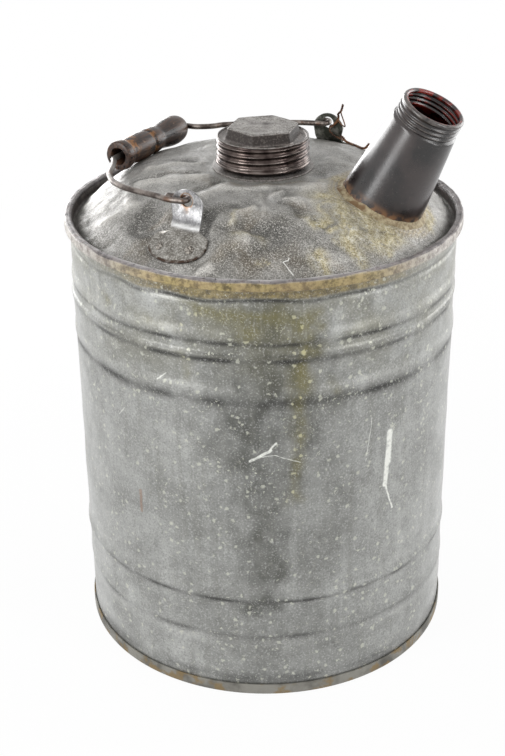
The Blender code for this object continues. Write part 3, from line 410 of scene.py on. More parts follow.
# Its bore from the far mouth to the near one: share of the mouth's depth from the end, and radius
GRIP_FAR_BORE = (
    (0, GRIP_MOUTH_RADIUS), (0.2, GRIP_MOUTH_RADIUS * 0.93), (0.9, GRIP_BORE_RADIUS * 1.1),
    (1.2, GRIP_BORE_RADIUS),
)
GRIP_NEAR_BORE = (
    (1.2, GRIP_BORE_RADIUS), (0.9, GRIP_BORE_RADIUS * 1.1), (0.2, GRIP_MOUTH_RADIUS * 1.1),
    (0, GRIP_MOUTH_RADIUS * 1.3),
)
GRIP_BORE_FADE = (0.0046, 0.0056)

# Binding wire on the rear ear. Its points are shares of the tab's radius, across and up from the hole.
TETHER_RADIUS = 0.00048
TETHER_TWIST_PITCH = 0.0030
TETHER_STEPS = 24
TETHER_BIGHT_STEPS = 8
TETHER_TAIL_SHARES = (
    (-1.02, 1.26), (-0.91, 0.88), (-0.72, 0.66), (-0.74, 0.46), (-0.65, 0.21), (-0.32, -0.14),
)
TETHER_OUTER_SHARES = ((-0.50, -0.60), (-0.92, -0.86))
TETHER_INNER_SHARES = ((-0.20, -0.49), (-0.52, -0.71), (-0.92, -0.83))
TETHER_BIGHT_SHARES = ((-0.91, 0.90), (-0.93, 0.68), (-1.19, 0.00), (-0.96, 0.04), (-0.74, 0.25))
TETHER_KNOT_SHARES = (-1.21, -1.00)
TETHER_PASS_TURN = math.radians(233)
TETHER_PASS_SPREAD = 9 / 8
TETHER_RUN_END = (0.0400, 0.0810)
TETHER_CURL = 0.0035

# Crumbs on the dome: photograph pixels of both ends, half width and strength
DOME_CRUMBS_PX = (
    (377, 232, 384, 236, 0.0018, 1.0), (387, 243, 396, 241, 0.0020, 1.0), (388, 246, 389, 252, 0.0014, 0.8),
    (330, 226, 333, 230, 0.0012, 0.5), (348, 226, 353, 236, 0.0018, 0.5), (354, 246, 358, 253, 0.0014, 0.4),
)
# Creases and dents of the dome: photograph pixels of both ends, half width and rise
DOME_CREASES_PX = (
    (145, 163, 201, 161, 0.0030, -0.0009), (150, 169, 200, 165, 0.0045, 0.0012),
    (176, 161, 200, 159, 0.0018, -0.0007), (136, 181, 201, 172, 0.0026, -0.0012),
    (140, 187, 205, 178, 0.0050, 0.0014), (118, 190, 150, 183, 0.0040, 0.0008),
    (196, 191, 224, 181, 0.0022, -0.0010), (204, 196, 232, 186, 0.0036, 0.0013),
    (222, 190, 262, 191, 0.0040, 0.0012), (266, 188, 322, 188, 0.0060, 0.0012),
    (236, 205, 248, 204, 0.0050, -0.0014), (262, 196, 263, 218, 0.0018, 0.0006),
    (229, 222, 250, 209, 0.0028, 0.0015), (244, 227, 272, 231, 0.0080, -0.0024),
    (286, 202, 304, 216, 0.0034, -0.0018), (288, 199, 303, 206, 0.0016, 0.0008),
    (296, 199, 313, 203, 0.0045, 0.0009), (274, 197, 280, 192, 0.0018, 0.0013),
    (230, 225, 246, 236, 0.0030, 0.0013), (240, 239, 262, 240, 0.0040, 0.0011),
    (221, 226, 225, 227, 0.0034, -0.0013), (232, 252, 262, 246, 0.0042, -0.0015),
    (262, 246, 278, 238, 0.0030, -0.0009), (200, 274, 211, 271, 0.0028, 0.0018),
    (146, 212, 160, 230, 0.0080, -0.0026), (140, 228, 152, 246, 0.0070, -0.0016),
    (167, 217, 153, 238, 0.0026, 0.0014), (128, 203, 140, 207, 0.0045, 0.0012),
    (207, 212, 203, 234, 0.0030, -0.0022), (212, 214, 218, 208, 0.0040, -0.0010),
    (78, 202, 92, 199, 0.0020, -0.0010), (74, 214, 90, 212, 0.0022, -0.0010),
    (76, 224, 92, 221, 0.0022, -0.0009), (84, 238, 100, 230, 0.0024, -0.0008),
    (100, 250, 116, 240, 0.0022, -0.0006), (252, 263, 266, 260, 0.0060, -0.0010),
    (296, 259, 306, 257, 0.0050, -0.0013), (300, 226, 322, 216, 0.0040, 0.0008),
    (318, 222, 324, 226, 0.0022, -0.0012), (330, 160, 350, 166, 0.0045, 0.0008),
    (312, 172, 340, 182, 0.0050, -0.0009), (330, 264, 346, 262, 0.0045, 0.0010),
    (160, 150, 196, 146, 0.0050, -0.0009), (104, 200, 124, 186, 0.0048, -0.0007),
    (100, 226, 124, 214, 0.0050, 0.0007),
)
# Marks on the wall and the dome: photograph pixels of both ends, half width and strength
WALL_STAINS_PX = (
    (258, 318, 254, 430, 0.022, 0.95), (254, 430, 268, 600, 0.020, 0.85), (300, 330, 300, 430, 0.012, 0.9),
    (318, 405, 285, 500, 0.008, 0.75), (212, 372, 225, 500, 0.012, 0.45), (190, 330, 232, 345, 0.010, 0.5),
    (320, 345, 345, 400, 0.012, 0.45), (340, 300, 380, 318, 0.008, 0.35), (200, 590, 330, 612, 0.014, 0.30),
    (225, 640, 300, 670, 0.016, 0.35), (272, 340, 272, 650, 0.044, 0.38), (330, 480, 345, 540, 0.010, 0.30),
    (100, 330, 150, 345, 0.006, 0.25),
)
WALL_MOSS_PX = (
    (196, 312, 320, 318, 0.006, 0.8), (303, 318, 300, 400, 0.0065, 0.9), (300, 400, 296, 500, 0.0045, 0.7),
    (232, 318, 250, 335, 0.007, 0.7), (104, 292, 110, 300, 0.003, 0.8), (292, 345, 316, 350, 0.008, 0.7),
    (330, 380, 335, 392, 0.003, 0.5), (182, 352, 190, 378, 0.004, 0.4), (150, 318, 180, 324, 0.004, 0.4),
)
WALL_PALE_PX = (
    (92, 300, 104, 330, 0.010, 0.6), (135, 300, 165, 322, 0.008, 0.4), (345, 322, 372, 314, 0.008, 0.35),
    (400, 420, 396, 560, 0.006, 0.3), (130, 600, 190, 650, 0.012, 0.35), (170, 440, 200, 470, 0.014, 0.25),
)
WALL_SCRATCHES_PX = (
    (390, 432, 388, 462, 0.0032, 1.0), (388, 452, 385, 484, 0.0026, 1.0), (385, 484, 392, 507, 0.0010, 0.9),
    (250, 461, 262, 455, 0.0012, 0.8), (261, 456, 271, 450, 0.0013, 0.8), (270, 450, 276, 443, 0.0009, 0.8),
    (262, 457, 275, 455, 0.0004, 0.7), (275, 455, 300, 462, 0.0004, 0.7), (372, 418, 366, 460, 0.0004, 0.6),
    (166, 373, 158, 378, 0.0006, 0.6), (124, 408, 119, 414, 0.0005, 0.5),
)
RUST_SPOT_PX = ((141, 490), (142, 510))
RUST_SPOT_WIDTH = 0.0016
DOME_SCRATCH_PX = ((289, 257), (288, 260), (283, 263), (287, 268), (293, 276))
DOME_SCRATCH_WIDTH = 0.0004
DOME_CRUST_PX = (
    (310, 222, 318, 214, 0.0045, 1.0), (318, 212, 326, 208, 0.0026, 0.7), (329, 225, 334, 231, 0.0022, 1.0),
    (336, 224, 342, 232, 0.0030, 0.9), (345, 222, 353, 238, 0.0075, 1.0), (350, 238, 358, 254, 0.0060, 1.0),
    (358, 216, 374, 240, 0.0080, 0.8), (323, 260, 331, 269, 0.0022, 0.9), (340, 246, 350, 252, 0.0030, 0.6),
    (428, 212, 436, 234, 0.0034, 0.8), (324, 196, 346, 214, 0.0090, 0.9), (376, 231, 398, 242, 0.0060, 1.0),
    (387, 242, 389, 253, 0.0022, 0.9), (326, 184, 342, 178, 0.0050, 0.3), (262, 266, 266, 267, 0.0012, 0.9),
    (270, 256, 273, 259, 0.0012, 0.8), (230, 220, 248, 210, 0.0030, 0.5), (236, 236, 262, 240, 0.0040, 0.35),
    (340, 216, 352, 226, 0.0060, 0.6), (312, 258, 318, 268, 0.0040, 0.3), (366, 252, 398, 246, 0.0040, 0.45),
)
# Soot and painted shade on the dome: dark strokes along creases and hollows, and a painted shadow beside an
# ear
DOME_SOOT_AND_SHADE_PX = (
    (212, 262, 330, 272, 0.009, 0.75), (236, 226, 280, 234, 0.011, 0.8), (268, 226, 300, 222, 0.011, 0.75),
    (206, 210, 202, 234, 0.0030, 1.0), (214, 208, 208, 224, 0.005, 0.9), (148, 212, 162, 232, 0.010, 0.85),
    (136, 226, 150, 246, 0.008, 0.6), (92, 240, 150, 268, 0.006, 0.45), (150, 262, 210, 276, 0.006, 0.6),
    (330, 272, 402, 258, 0.005, 0.6), (345, 168, 350, 190, 0.005, 0.5), (355, 214, 400, 232, 0.003, 0.5),
    (408, 230, 440, 214, 0.004, 0.4), (70, 200, 84, 225, 0.005, 0.5), (286, 202, 304, 216, 0.004, 0.7),
    (240, 192, 262, 198, 0.006, 0.3), (210, 226, 230, 238, 0.009, 0.7), (290, 236, 330, 250, 0.010, 0.6),
    (232, 250, 262, 246, 0.005, 0.8), (318, 219, 325, 226, 0.0026, 1.0), (387, 252, 388, 254, 0.0014, 1.0),
    (391, 240, 396, 242, 0.0012, 1.0), (375, 236, 378, 237, 0.0012, 1.0), (140, 180, 200, 172, 0.0016, 0.6),
    (176, 161, 200, 159, 0.0014, 0.6), (196, 191, 222, 182, 0.0020, 0.6), (300, 168, 340, 176, 0.006, 0.5),
    (300, 250, 400, 262, 0.009, 0.55), (330, 262, 440, 232, 0.008, 0.6), (343, 188, 352, 200, 0.0025, 0.8),
    (84, 196, 110, 186, 0.003, 0.4), (254, 182, 300, 180, 0.003, 0.4),
)
# Pale zinc and painted highlights on the dome's ridges
DOME_PALE_AND_HIGHLIGHT_PX = (
    (130, 170, 200, 158, 0.012, 0.9), (200, 160, 330, 152, 0.016, 0.8), (204, 205, 240, 196, 0.006, 0.5),
    (300, 200, 322, 208, 0.006, 0.4), (330, 150, 352, 160, 0.010, 0.6), (404, 224, 420, 214, 0.006, 0.8),
    (262, 188, 320, 188, 0.006, 0.8), (440, 195, 446, 208, 0.005, 0.8), (360, 255, 400, 246, 0.006, 0.4),
    (326, 266, 350, 262, 0.005, 0.6), (274, 197, 280, 192, 0.0020, 1.0), (430, 205, 440, 225, 0.005, 0.6),
    (150, 190, 170, 200, 0.008, 0.5),
)
DOME_BROWN_PX = (
    (196, 178, 214, 186, 0.004, 0.4), (224, 186, 262, 187, 0.0024, 0.9), (262, 188, 300, 184, 0.0024, 0.9),
    (157, 214, 168, 222, 0.004, 0.6), (300, 204, 318, 216, 0.005, 0.5), (236, 226, 262, 212, 0.004, 0.5),
    (345, 205, 372, 226, 0.004, 0.6), (150, 170, 190, 176, 0.004, 0.3), (320, 262, 334, 270, 0.004, 0.6),
    (130, 255, 146, 246, 0.005, 0.5), (220, 256, 262, 262, 0.006, 0.5), (318, 190, 332, 200, 0.005, 0.6),
    (362, 212, 420, 234, 0.003, 0.5), (270, 258, 300, 262, 0.006, 0.4),
)

# Painted attributes: name, strokes, seed and how far noise pushes their outline, and the size of that noise
WALL_MARKS = (
    ("stain", WALL_STAINS_PX, 31, 0.005),
    ("moss", WALL_MOSS_PX, 33, 0.0015),
    ("pale", WALL_PALE_PX, 35, 0.006),
)
DOME_MARKS = (
    ("crust", DOME_CRUST_PX, 41, 0.003),
    ("soot_and_shade", DOME_SOOT_AND_SHADE_PX, 43, 0.003),
    ("pale", DOME_PALE_AND_HIGHLIGHT_PX, 45, 0.004),
    ("brown", DOME_BROWN_PX, 47, 0.003),
)
MARK_RAGS = 0.025


def ripple(points, size, seed, waves=24):
    """Smooth noise of about unit spread: a sum of sine waves of about one size in seeded directions."""
    random = np.random.default_rng(seed)
    direction = random.normal(size=(waves, points.shape[-1]))
    direction /= np.linalg.norm(direction, axis=1)[:, None]
    length = size * random.uniform(0.7, 1.6, waves)
    phase = random.uniform(0, FULL_TURN, waves)
    angle = points @ (FULL_TURN * direction / length[:, None]).T + phase
    return np.sin(angle).sum(axis=-1) * math.sqrt(2 / waves)


def uneven(points, layers):
    """A sum of layers of smooth noise, each a rise, a size and a seed."""
    return sum(rise * ripple(points, size, seed) for rise, size, seed in layers)


def pushed(points, reach, size, seed):
    """Points of a plan pushed about by noise."""
    return points + reach * np.stack([ripple(points, size, seed), ripple(points, size, seed + 1)], axis=-1)


def straight_step(value, start, end):
    """Zero before start, one after end, and a straight line in between."""
    return np.clip((value - start) / (end - start), 0, 1)


def smooth_step(value, start, end):
    """Zero before start, one after end, and a cubic in between."""
    share = straight_step(value, start, end)
    return share * share * (3 - 2 * share)


def bell(value, width):
    """A Gaussian of one at zero."""
    return np.exp(-((value / width) ** 2))


def turns(columns):
    """Angles of the columns of a surface carried round an axis."""
    return np.arange(columns) * FULL_TURN / columns


def circle(turn):
    """Points of a unit circle."""
    return np.stack([np.cos(turn), np.sin(turn)], axis=-1)


def round_axis(radius, turn, height):
    """Points at distances from the Z axis, turns round it and heights."""
    return np.stack(np.broadcast_arrays(radius * np.cos(turn), radius * np.sin(turn), height), axis=-1)


def off_axis(points):
    """Distance of points from the Z axis."""
    return np.hypot(points[..., 0], points[..., 1])


def from_segment(points, start, end):
    """Distance of points from a straight segment."""
    run = np.subtract(end, start)
    share = np.clip((points - start) @ run / (run @ run), 0, 1)
    return np.linalg.norm(points - start - share[..., None] * run, axis=-1)


def smooth_through(points, steps):
    """A Catmull-Rom curve through points, with steps pieces to a span."""
    known = np.array(points, float)
    padded = np.vstack([2 * known[0] - known[1], known, 2 * known[-1] - known[-2]])
    share = (np.arange(steps) / steps)[:, None]
    spans = [
        (2 * b + (c - a) * share + (2 * a - 5 * b + 4 * c - d) * share**2
         + (3 * b - a - 3 * c + d) * share**3) / 2
        for a, b, c, d in zip(padded, padded[1:], padded[2:], padded[3:])
    ]
    return np.vstack([*spans, known[-1:]])


def finely(path, spacing):
    """A polyline with its long runs divided so that no step is longer than spacing."""
    made = [np.array(path[0], float)]
    for start, end in zip(path, path[1:]):
        run = np.subtract(end, start)
        steps = max(1, math.ceil(np.linalg.norm(run) / spacing))
        made += [start + run * k / steps for k in range(1, steps + 1)]
    return np.array(made)


def rounded(path, times=1):
    """A polyline with its corners cut, a quarter off each side, some times over."""
    path = np.array(path, float)
    for _ in range(times):
        here, following = path[:-1], path[1:]
        cut = np.stack([here * 3 / 4 + following / 4, here / 4 + following * 3 / 4], axis=1)
        path = np.vstack([path[:1], cut.reshape(-1, path.shape[1])[1:-1], path[-1:]])
    return path


def beside(path, distance):
    """A path moved sideways by a distance, to the left of its own direction, with mitred corners."""
    path = np.array(path, float)
    runs = np.diff(path, axis=0)
    runs /= np.linalg.norm(runs, axis=1)[:, None]
    before = np.vstack([runs[:1], runs])
    after = np.vstack([runs, runs[-1:]])
    mean = before + after
    normals = np.stack([-mean[:, 1], mean[:, 0]], axis=1)
    normals /= np.linalg.norm(normals, axis=1)[:, None]
    spread = (normals * np.stack([-after[:, 1], after[:, 0]], axis=1)).sum(axis=1)
    return path + normals * (distance / spread)[:, None]


def surface(name, grid, around=True, loop=True):
    """A mesh through a grid of points (rows, columns, 3), closed round columns and from last row to first."""
    rows, columns = grid.shape[:2]
    index = np.arange(rows * columns).reshape(rows, columns)
    if around:
        index = np.hstack([index, index[:, :1]])
    if loop:
        index = np.vstack([index, index[:1]])
    faces = np.stack([index[:-1, :-1], index[1:, :-1], index[1:, 1:], index[:-1, 1:]], axis=-1).reshape(-1, 4)
    mesh = bpy.data.meshes.new(name)
    mesh.from_pydata(grid.reshape(-1, 3).tolist(), [], faces.tolist())
    shell = bmesh.new()
    shell.from_mesh(mesh)
    bmesh.ops.remove_doubles(shell, verts=shell.verts, dist=MERGE)
    bmesh.ops.recalc_face_normals(shell, faces=shell.faces)
    shell.to_mesh(mesh)
    shell.free()
    made = bpy.data.objects.new(name, mesh)
    bpy.context.scene.collection.objects.link(made)
    return made


def cut_by(piece, plug, name):
    """Makes a piece's modifier that cuts a plug out of it."""
    cut = piece.modifiers.new(name, "BOOLEAN")
    cut.object = plug
    cut.operation = "DIFFERENCE"


def settled(piece, sharp=EDGE_TURN):
    """Applies a piece's modifiers and place to its mesh, and shades it smooth but for its sharp edges."""
    bpy.context.view_layer.update()
    mesh = bpy.data.meshes.new_from_object(piece.evaluated_get(bpy.context.evaluated_depsgraph_get()))
    mesh.transform(piece.matrix_world)
    piece.modifiers.clear()
    piece.data = mesh
    piece.matrix_world = Matrix.Identity(4)
    mesh.shade_smooth()
    mesh.set_sharp_from_angle(angle=sharp)
    return piece


def dressed(piece, finish, body, slot, *nodes):
    """Gives a finished piece its material and its body, and hides the nodes that it stands for. Its slot is
    not used.
    """
    piece.data.materials.clear()
    piece.data.materials.append(finish)
    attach(piece, body)
    if nodes:
        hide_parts(*nodes)


def corners(piece):
    """A piece's points as an array."""
    values = np.zeros(3 * len(piece.data.vertices), np.float32)
    piece.data.vertices.foreach_get("co", values)
    return values.reshape(-1, 3).astype(float)


def painted(piece, name, values):
    """Stores one number a point on a piece, for its material to read."""
    attribute = piece.data.attributes.new(name, "FLOAT", "POINT")
    attribute.data.foreach_set("value", np.asarray(values, np.float32))


def turned(profile, columns):
    """A grid of points: a profile of radius and height carried round the Z axis."""
    profile = np.array(profile, float)
    return round_axis(profile[:, :1], turns(columns), profile[:, 1:])


def carried(path, start):
    """Frames carried along a path without a twist: the direction ahead, a side and a third across both."""
    ahead = np.gradient(path, axis=0)
    ahead /= np.linalg.norm(ahead, axis=1)[:, None]
    side = np.cross(ahead[0], start)
    sides = []
    for forward in ahead:
        side = side - forward * (side @ forward)
        side /= np.linalg.norm(side)
        sides.append(side)
    return ahead, np.array(sides), np.cross(ahead, sides)


def swept(path, radius, sides):
    """A grid of points: a circle carried along a path without a twist, with closed rounded ends."""
    path = np.array(path, float)
    ahead, side, over = carried(path, SWEEP_START)
    turn = turns(sides)[:, None]
    rows = path[:, None] + radius * (np.cos(turn) * side[:, None] + np.sin(turn) * over[:, None])
    first, last = (
        [path[at] + (rows[at] - path[at]) * math.cos(a) + ahead[at] * sign * radius * math.sin(a) * 2 / 3
         for a in np.radians(SWEEP_END_TURNS)]
        for at, sign in ((0, -1), (-1, 1))
    )
    return np.vstack([first[::-1], rows, last])


def from_frame(grid, matrix):
    """Points of a local frame, placed in the can's frame."""
    matrix = np.array(matrix)
    return grid @ matrix[:3, :3].T + matrix[:3, 3]


def camera_axes():
    """The camera's right, up and forward directions."""
    forward = -np.array([
        math.cos(CAMERA_ELEVATION) * math.cos(CAMERA_AZIMUTH),
        math.cos(CAMERA_ELEVATION) * math.sin(CAMERA_AZIMUTH),
        math.sin(CAMERA_ELEVATION),
    ])
    level = np.array([-math.sin(CAMERA_AZIMUTH), math.cos(CAMERA_AZIMUTH), 0])
    upright = np.cross(level, forward)
    right = math.cos(CAMERA_ROLL) * level + math.sin(CAMERA_ROLL) * upright
    return right, np.cross(right, forward), forward


def sight(px, py):
    """The camera's place and the direction in which it sees a pixel of the photograph."""
    right, up, forward = camera_axes()
    eye = np.array(CAMERA_TARGET) - CAMERA_DISTANCE * forward
    across = (np.asarray(px, float) - PHOTO_WIDTH / 2) / PHOTO_FOCUS_PX
    down = (np.asarray(py, float) - PHOTO_HEIGHT / 2) / PHOTO_FOCUS_PX
    direction = forward + across[..., None] * right - down[..., None] * up
    return eye, direction / np.linalg.norm(direction, axis=-1)[..., None]


def wall_place(px, py):
    """Where the camera sees a pixel on the wall: the distance round the wall from +X, and the height."""
    eye, direction = sight(px, py)
    a = (direction[..., :2] ** 2).sum(axis=-1)
    b = (direction[..., :2] * eye[:2]).sum(axis=-1)
    c = (eye[:2] ** 2).sum() - WALL_RADIUS**2
    reach = (-b - np.sqrt(np.maximum(b * b - a * c, 0))) / a
    return wrapped(eye + reach[..., None] * direction)


def wrapped(points):
    """Points of the wall as the distance round it from +X, and the height."""
    return np.stack([np.arctan2(points[..., 1], points[..., 0]) * WALL_RADIUS, points[..., 2]], axis=-1)


def dome_height(radius):
    """Height of the middle of the dome's sheet at a distance from the axis."""
    outward = straight_step(radius, DOME_CROWN_RADIUS, DOME_EDGE_RADIUS)
    return GUTTER_LEVEL + DOME_RISE * (1 - outward**DOME_FULLNESS)


def halved(low, high, times, is_above):
    """Where a test turns true between low and high, found by some halvings, on the side where it is true."""
    for _ in range(times):
        middle = (low + high) / 2
        above = is_above(middle)
        low, high = np.where(above, low, middle), np.where(above, middle, high)
    return high


def dome_place(px, py):
    """Where the camera sees a pixel on the dome, in plan: the first crossing, found by halving."""
    eye, direction = sight(px, py)

    def is_above(reach):
        point = eye + reach[..., None] * direction
        return point[..., 2] > dome_height(off_axis(point))

    near = (dome_height(0) - eye[2]) / direction[..., 2]
    far = (GUTTER_LEVEL - SHEET - eye[2]) / direction[..., 2]
    near = halved(far, near, DOME_HALVINGS, is_above)
    return (eye + near[..., None] * direction)[..., :2]


def marks(points, strokes, place, seed, reach):
    """Strength of painted strokes at points of a plan: each a soft bell round a segment given in pixels."""
    ragged = pushed(points, reach, MARK_RAGS, seed)
    found = np.zeros(points.shape[:-1])
    for x0, y0, x1, y1, width, strength in strokes:
        start, end = place(np.array([x0, x1]), np.array([y0, y1]))
        found = np.maximum(found, strength * bell(from_segment(ragged, start, end), width))
    return found


def dome_dents(x, y):
    """Rise of the dented dome over the true one: small ripples and the creases seen in the photograph."""
    plan = np.stack([x, y], axis=-1)
    radius = np.hypot(x, y)
    rise = uneven(plan, DOME_RIPPLES)
    bend = pushed(plan, *CREASE_BEND)
    for x0, y0, x1, y1, width, depth in DOME_CREASES_PX:
        start, end = dome_place(np.array([x0, x1]), np.array([y0, y1]))
        rise = rise + CREASE_GAIN * depth * bell(from_segment(bend, start, end), width)
    lumps = 0.5 + uneven(plan, CRUMB_LUMPS)
    rise = rise + CRUMB_HEIGHT * lumps * marks(plan, DOME_CRUMBS_PX, dome_place, *CRUMB_EDGE)
    held = smooth_step(radius, NECK_FLANGE_RADIUS, NECK_FLANGE_RADIUS + DOME_HOLD)
    return rise * held * (1 - smooth_step(radius, DOME_EDGE_RADIUS - DOME_HOLD, DOME_EDGE_RADIUS))


def max_of(layers):
    """The strongest of some layers of paint, point by point."""
    return np.max(np.array(layers), axis=0)


def front_share(points, least):
    """One on the front over FRONT_TURNS, most weathered and with the strongest painted shade and highlight,
    and least on the other side.
    """
    turn = np.degrees(np.arctan2(points[:, 1], points[:, 0]))
    start, full, still, end = FRONT_TURNS
    return least + (1 - least) * smooth_step(turn, start, full) * (1 - smooth_step(turn, still, end))


def wall_levels():
    """Heights of the wall's rows, close together where it is beaded or tucked."""
    fine = [
        np.arange(level - WALL_ROW_FINE_REACH, level + WALL_ROW_FINE_REACH, WALL_ROW_FINE_STEP)
        for level in [bead[0] for bead in BEADS] + [TUCK_LEVEL]
    ]
    levels = np.unique(np.concatenate([np.arange(WALL_FOOT, WALL_TOP, WALL_ROW_STEP), *fine, [WALL_TOP]]))
    levels = levels[(levels >= WALL_FOOT) & (levels <= WALL_TOP)]
    kept = [levels[-1]]
    for level in levels[::-1]:
        if kept[-1] - level > WALL_ROW_LEAST:
            kept.append(level)
    return np.array(kept)


def banded(height, bands, patches):
    """The strongest of some bands at each height, made uneven by patches."""
    return max_of([patches * strength * bell(height - level, half) for level, half, strength in bands])


def make_wall():
    """The beaded wall: a radius for each turn and height, of beads, a tuck, the lock seam and dents."""
    height = wall_levels()[:, None]
    turn = turns(WALL_COLUMNS)[None, :]
    ring = round_axis(1, turn, height / WALL_RADIUS)
    ends = smooth_step(height, *WALL_FOOT_FADE) * (1 - smooth_step(height, *WALL_HEAD_FADE))
    radius = WALL_RADIUS + uneven(ring, WALL_RIPPLES) * ends
    for number, (level, rise, above, below) in enumerate(BEADS):
        offset = height - level - uneven(ring[..., :2], [(*BEAD_WAVE, BEAD_SEED + number)])
        reach = np.clip(np.where(offset > 0, offset / above, offset / below), -1, 1)
        radius = radius + rise * np.cos(math.pi / 2 * reach) ** BEAD_SHARPNESS
    radius = radius - TUCK_DEPTH * bell(height - TUCK_LEVEL - uneven(ring[..., :2], TUCK_RIPPLES), TUCK_WIDTH)
    off_seam = np.abs((turn - SIDE_SEAM_TURN + math.pi) % FULL_TURN - math.pi) * WALL_RADIUS
    half = SIDE_SEAM_WIDTH / 2
    strip = 1 - smooth_step(off_seam, half - SIDE_SEAM_EDGE, half + SIDE_SEAM_EDGE)
    radius = radius + SIDE_SEAM_HEIGHT * strip * ends
    inner = np.array([height[-1, 0], *np.linspace(*WALL_INSIDE_ROWS), height[0, 0]])[:, None]
    radius = np.vstack([radius, np.full((len(inner), WALL_COLUMNS), WALL_RADIUS - SHEET)])
    wall = settled(surface("can_wall", round_axis(radius, turn, np.vstack([height, inner]))))
    points = corners(wall)
    wrap = wrapped(points)
    for name, strokes, seed, reach in WALL_MARKS:
        painted(wall, name, marks(wrap, strokes, wall_place, seed, reach))
    height = wrap[:, 1]
    mean, least, layers = BAND_PATCHES
    patches = np.clip(mean + uneven(wrap, layers), least, 1)
    from_tuck = height - TUCK_LEVEL - uneven(wrap, TUCK_PAINT_RIPPLES)
    tuck_shade = front_share(points, TUCK_SHADE_LEAST) * bell(from_tuck, TUCK_SHADE_WIDTH)
    # Painted shade: dark bands under the beads and above the base, and a dark line in the tuck, strongest at
    # the front
    painted(wall, "shade_bands", np.maximum(banded(height, WALL_SHADE_BANDS, patches), tuck_shade))
    # Painted highlight: light bands on the beads
    painted(wall, "highlight_bands", banded(height, WALL_HIGHLIGHT_BANDS, patches))
    painted(wall, "ochre", front_share(points, OCHRE_LEAST) * smooth_step(from_tuck, *OCHRE_FADE))
    return wall


def make_dome():
    """The domed top and its folded rim: one closed profile carried round, then dented along the creases."""
    radii = np.linspace(DOME_EDGE_RADIUS - SHEET, DOME_CROWN_RADIUS, DOME_ROWS)
    slope = np.gradient(dome_height(radii), radii)
    half = SHEET / 2 * np.sqrt(1 + slope**2)
    top = np.stack([radii, dome_height(radii) + half], axis=-1)
    under = np.stack([radii, dome_height(radii) - half], axis=-1)[::-DOME_UNDER_STEP]
    crown = GUTTER_LEVEL + DOME_RISE
    hole = [(DOME_HOLE_RADIUS, crown + SHEET / 2), (DOME_HOLE_RADIUS, crown - SHEET / 2)]
    rim = rounded(finely(RIM_PROFILE, RIM_SPACING), 2)
    grid = turned(np.vstack([rim, top, hole, under, RIM_BACK_PROFILE]), DOME_COLUMNS)
    radius = off_axis(grid)
    ring = grid[..., :2] / radius[..., None]
    grid[..., 2] += np.where(radius < DOME_EDGE_RADIUS, dome_dents(grid[..., 0], grid[..., 1]), 0)
    on_rim = smooth_step(grid[..., 2], *RIM_FADE) * (radius > DOME_EDGE_RADIUS)
    worn = np.maximum(uneven(ring, RIM_WEAR_RIPPLES) + RIM_WEAR_MEAN, 0)
    grid[..., 2] -= RIM_WEAR_DEPTH * worn * on_rim
    pinched = np.maximum(uneven(ring, RIM_PINCH_RIPPLES) + RIM_PINCH_MEAN, 0)
    grid[..., :2] *= (1 - RIM_PINCH_SHARE * on_rim * pinched)[..., None]
    dome = surface("domed_top", grid)
    plug = surface("spout_plug", from_frame(turned(SPOUT_HOLE_PROFILE, SPOUT_HOLE_COLUMNS), spout_matrix()))
    cut_by(dome, plug, "spout hole")
    dome = settled(dome)
    bpy.data.objects.remove(plug)
    points = corners(dome)
    plan, height = points[:, :2], points[:, 2]
    for name, strokes, seed, reach in DOME_MARKS:
        painted(dome, name, marks(plan, strokes, dome_place, seed, reach))
    radius = off_axis(plan)
    dents = dome_dents(plan[:, 0], plan[:, 1])
    # Painted shade in the dents' hollows and painted highlight on their ridges
    painted(dome, "hollow", straight_step(-dents, *HOLLOW_SHADE_FADE))
    painted(dome, "ridge", straight_step(dents, *RIDGE_HIGHLIGHT_FADE))
    local = from_frame(points, spout_matrix().inverted())
    away = off_axis(local) - SPOUT_FOOT_RADIUS + uneven(plan, FOOT_FILM_RIPPLES)
    near = 1 - smooth_step(away, FOOT_FILM_WIDTH / 2, FOOT_FILM_WIDTH)
    swing = FOOT_LINE_CONTRAST * np.cos(FULL_TURN * away / FOOT_LINE_SPACING)
    painted(dome, "film", near * (1 - FOOT_LINE_CONTRAST + swing))
    from_line = np.mod(away, FOOT_LINE_SPACING) - FOOT_LINE_SPACING / 2
    painted(dome, "line", near * bell(from_line, FOOT_LINE_WIDTH))
    out, up = RIM_PAINT
    on_rim = smooth_step(radius, *out) * smooth_step(height, *up)
    painted(dome, "rim", on_rim)
    out, up = FACE_PAINT
    face = on_rim * smooth_step(radius, *out)
    face = face * (1 - smooth_step(height + uneven(plan / radius[:, None], FACE_RIPPLES), *up))
    painted(dome, "face", face)
    painted(dome, "ochre", face * front_share(points, OCHRE_LEAST))
    # Scraped zinc and painted highlight on the rim's crest, strongest at the front
    (middle, half), up = CREST_PAINT
    crest = bell(radius - middle, half) * smooth_step(height, *up)
    painted(dome, "bright", front_share(points, CREST_LEAST) * crest)
    # Painted shade on the upper inside of the rim, over the gutter
    (middle, half), up = INNER_SHADE_PAINT
    painted(dome, "edge", bell(radius - middle, half) * smooth_step(height, *up))
    return dome


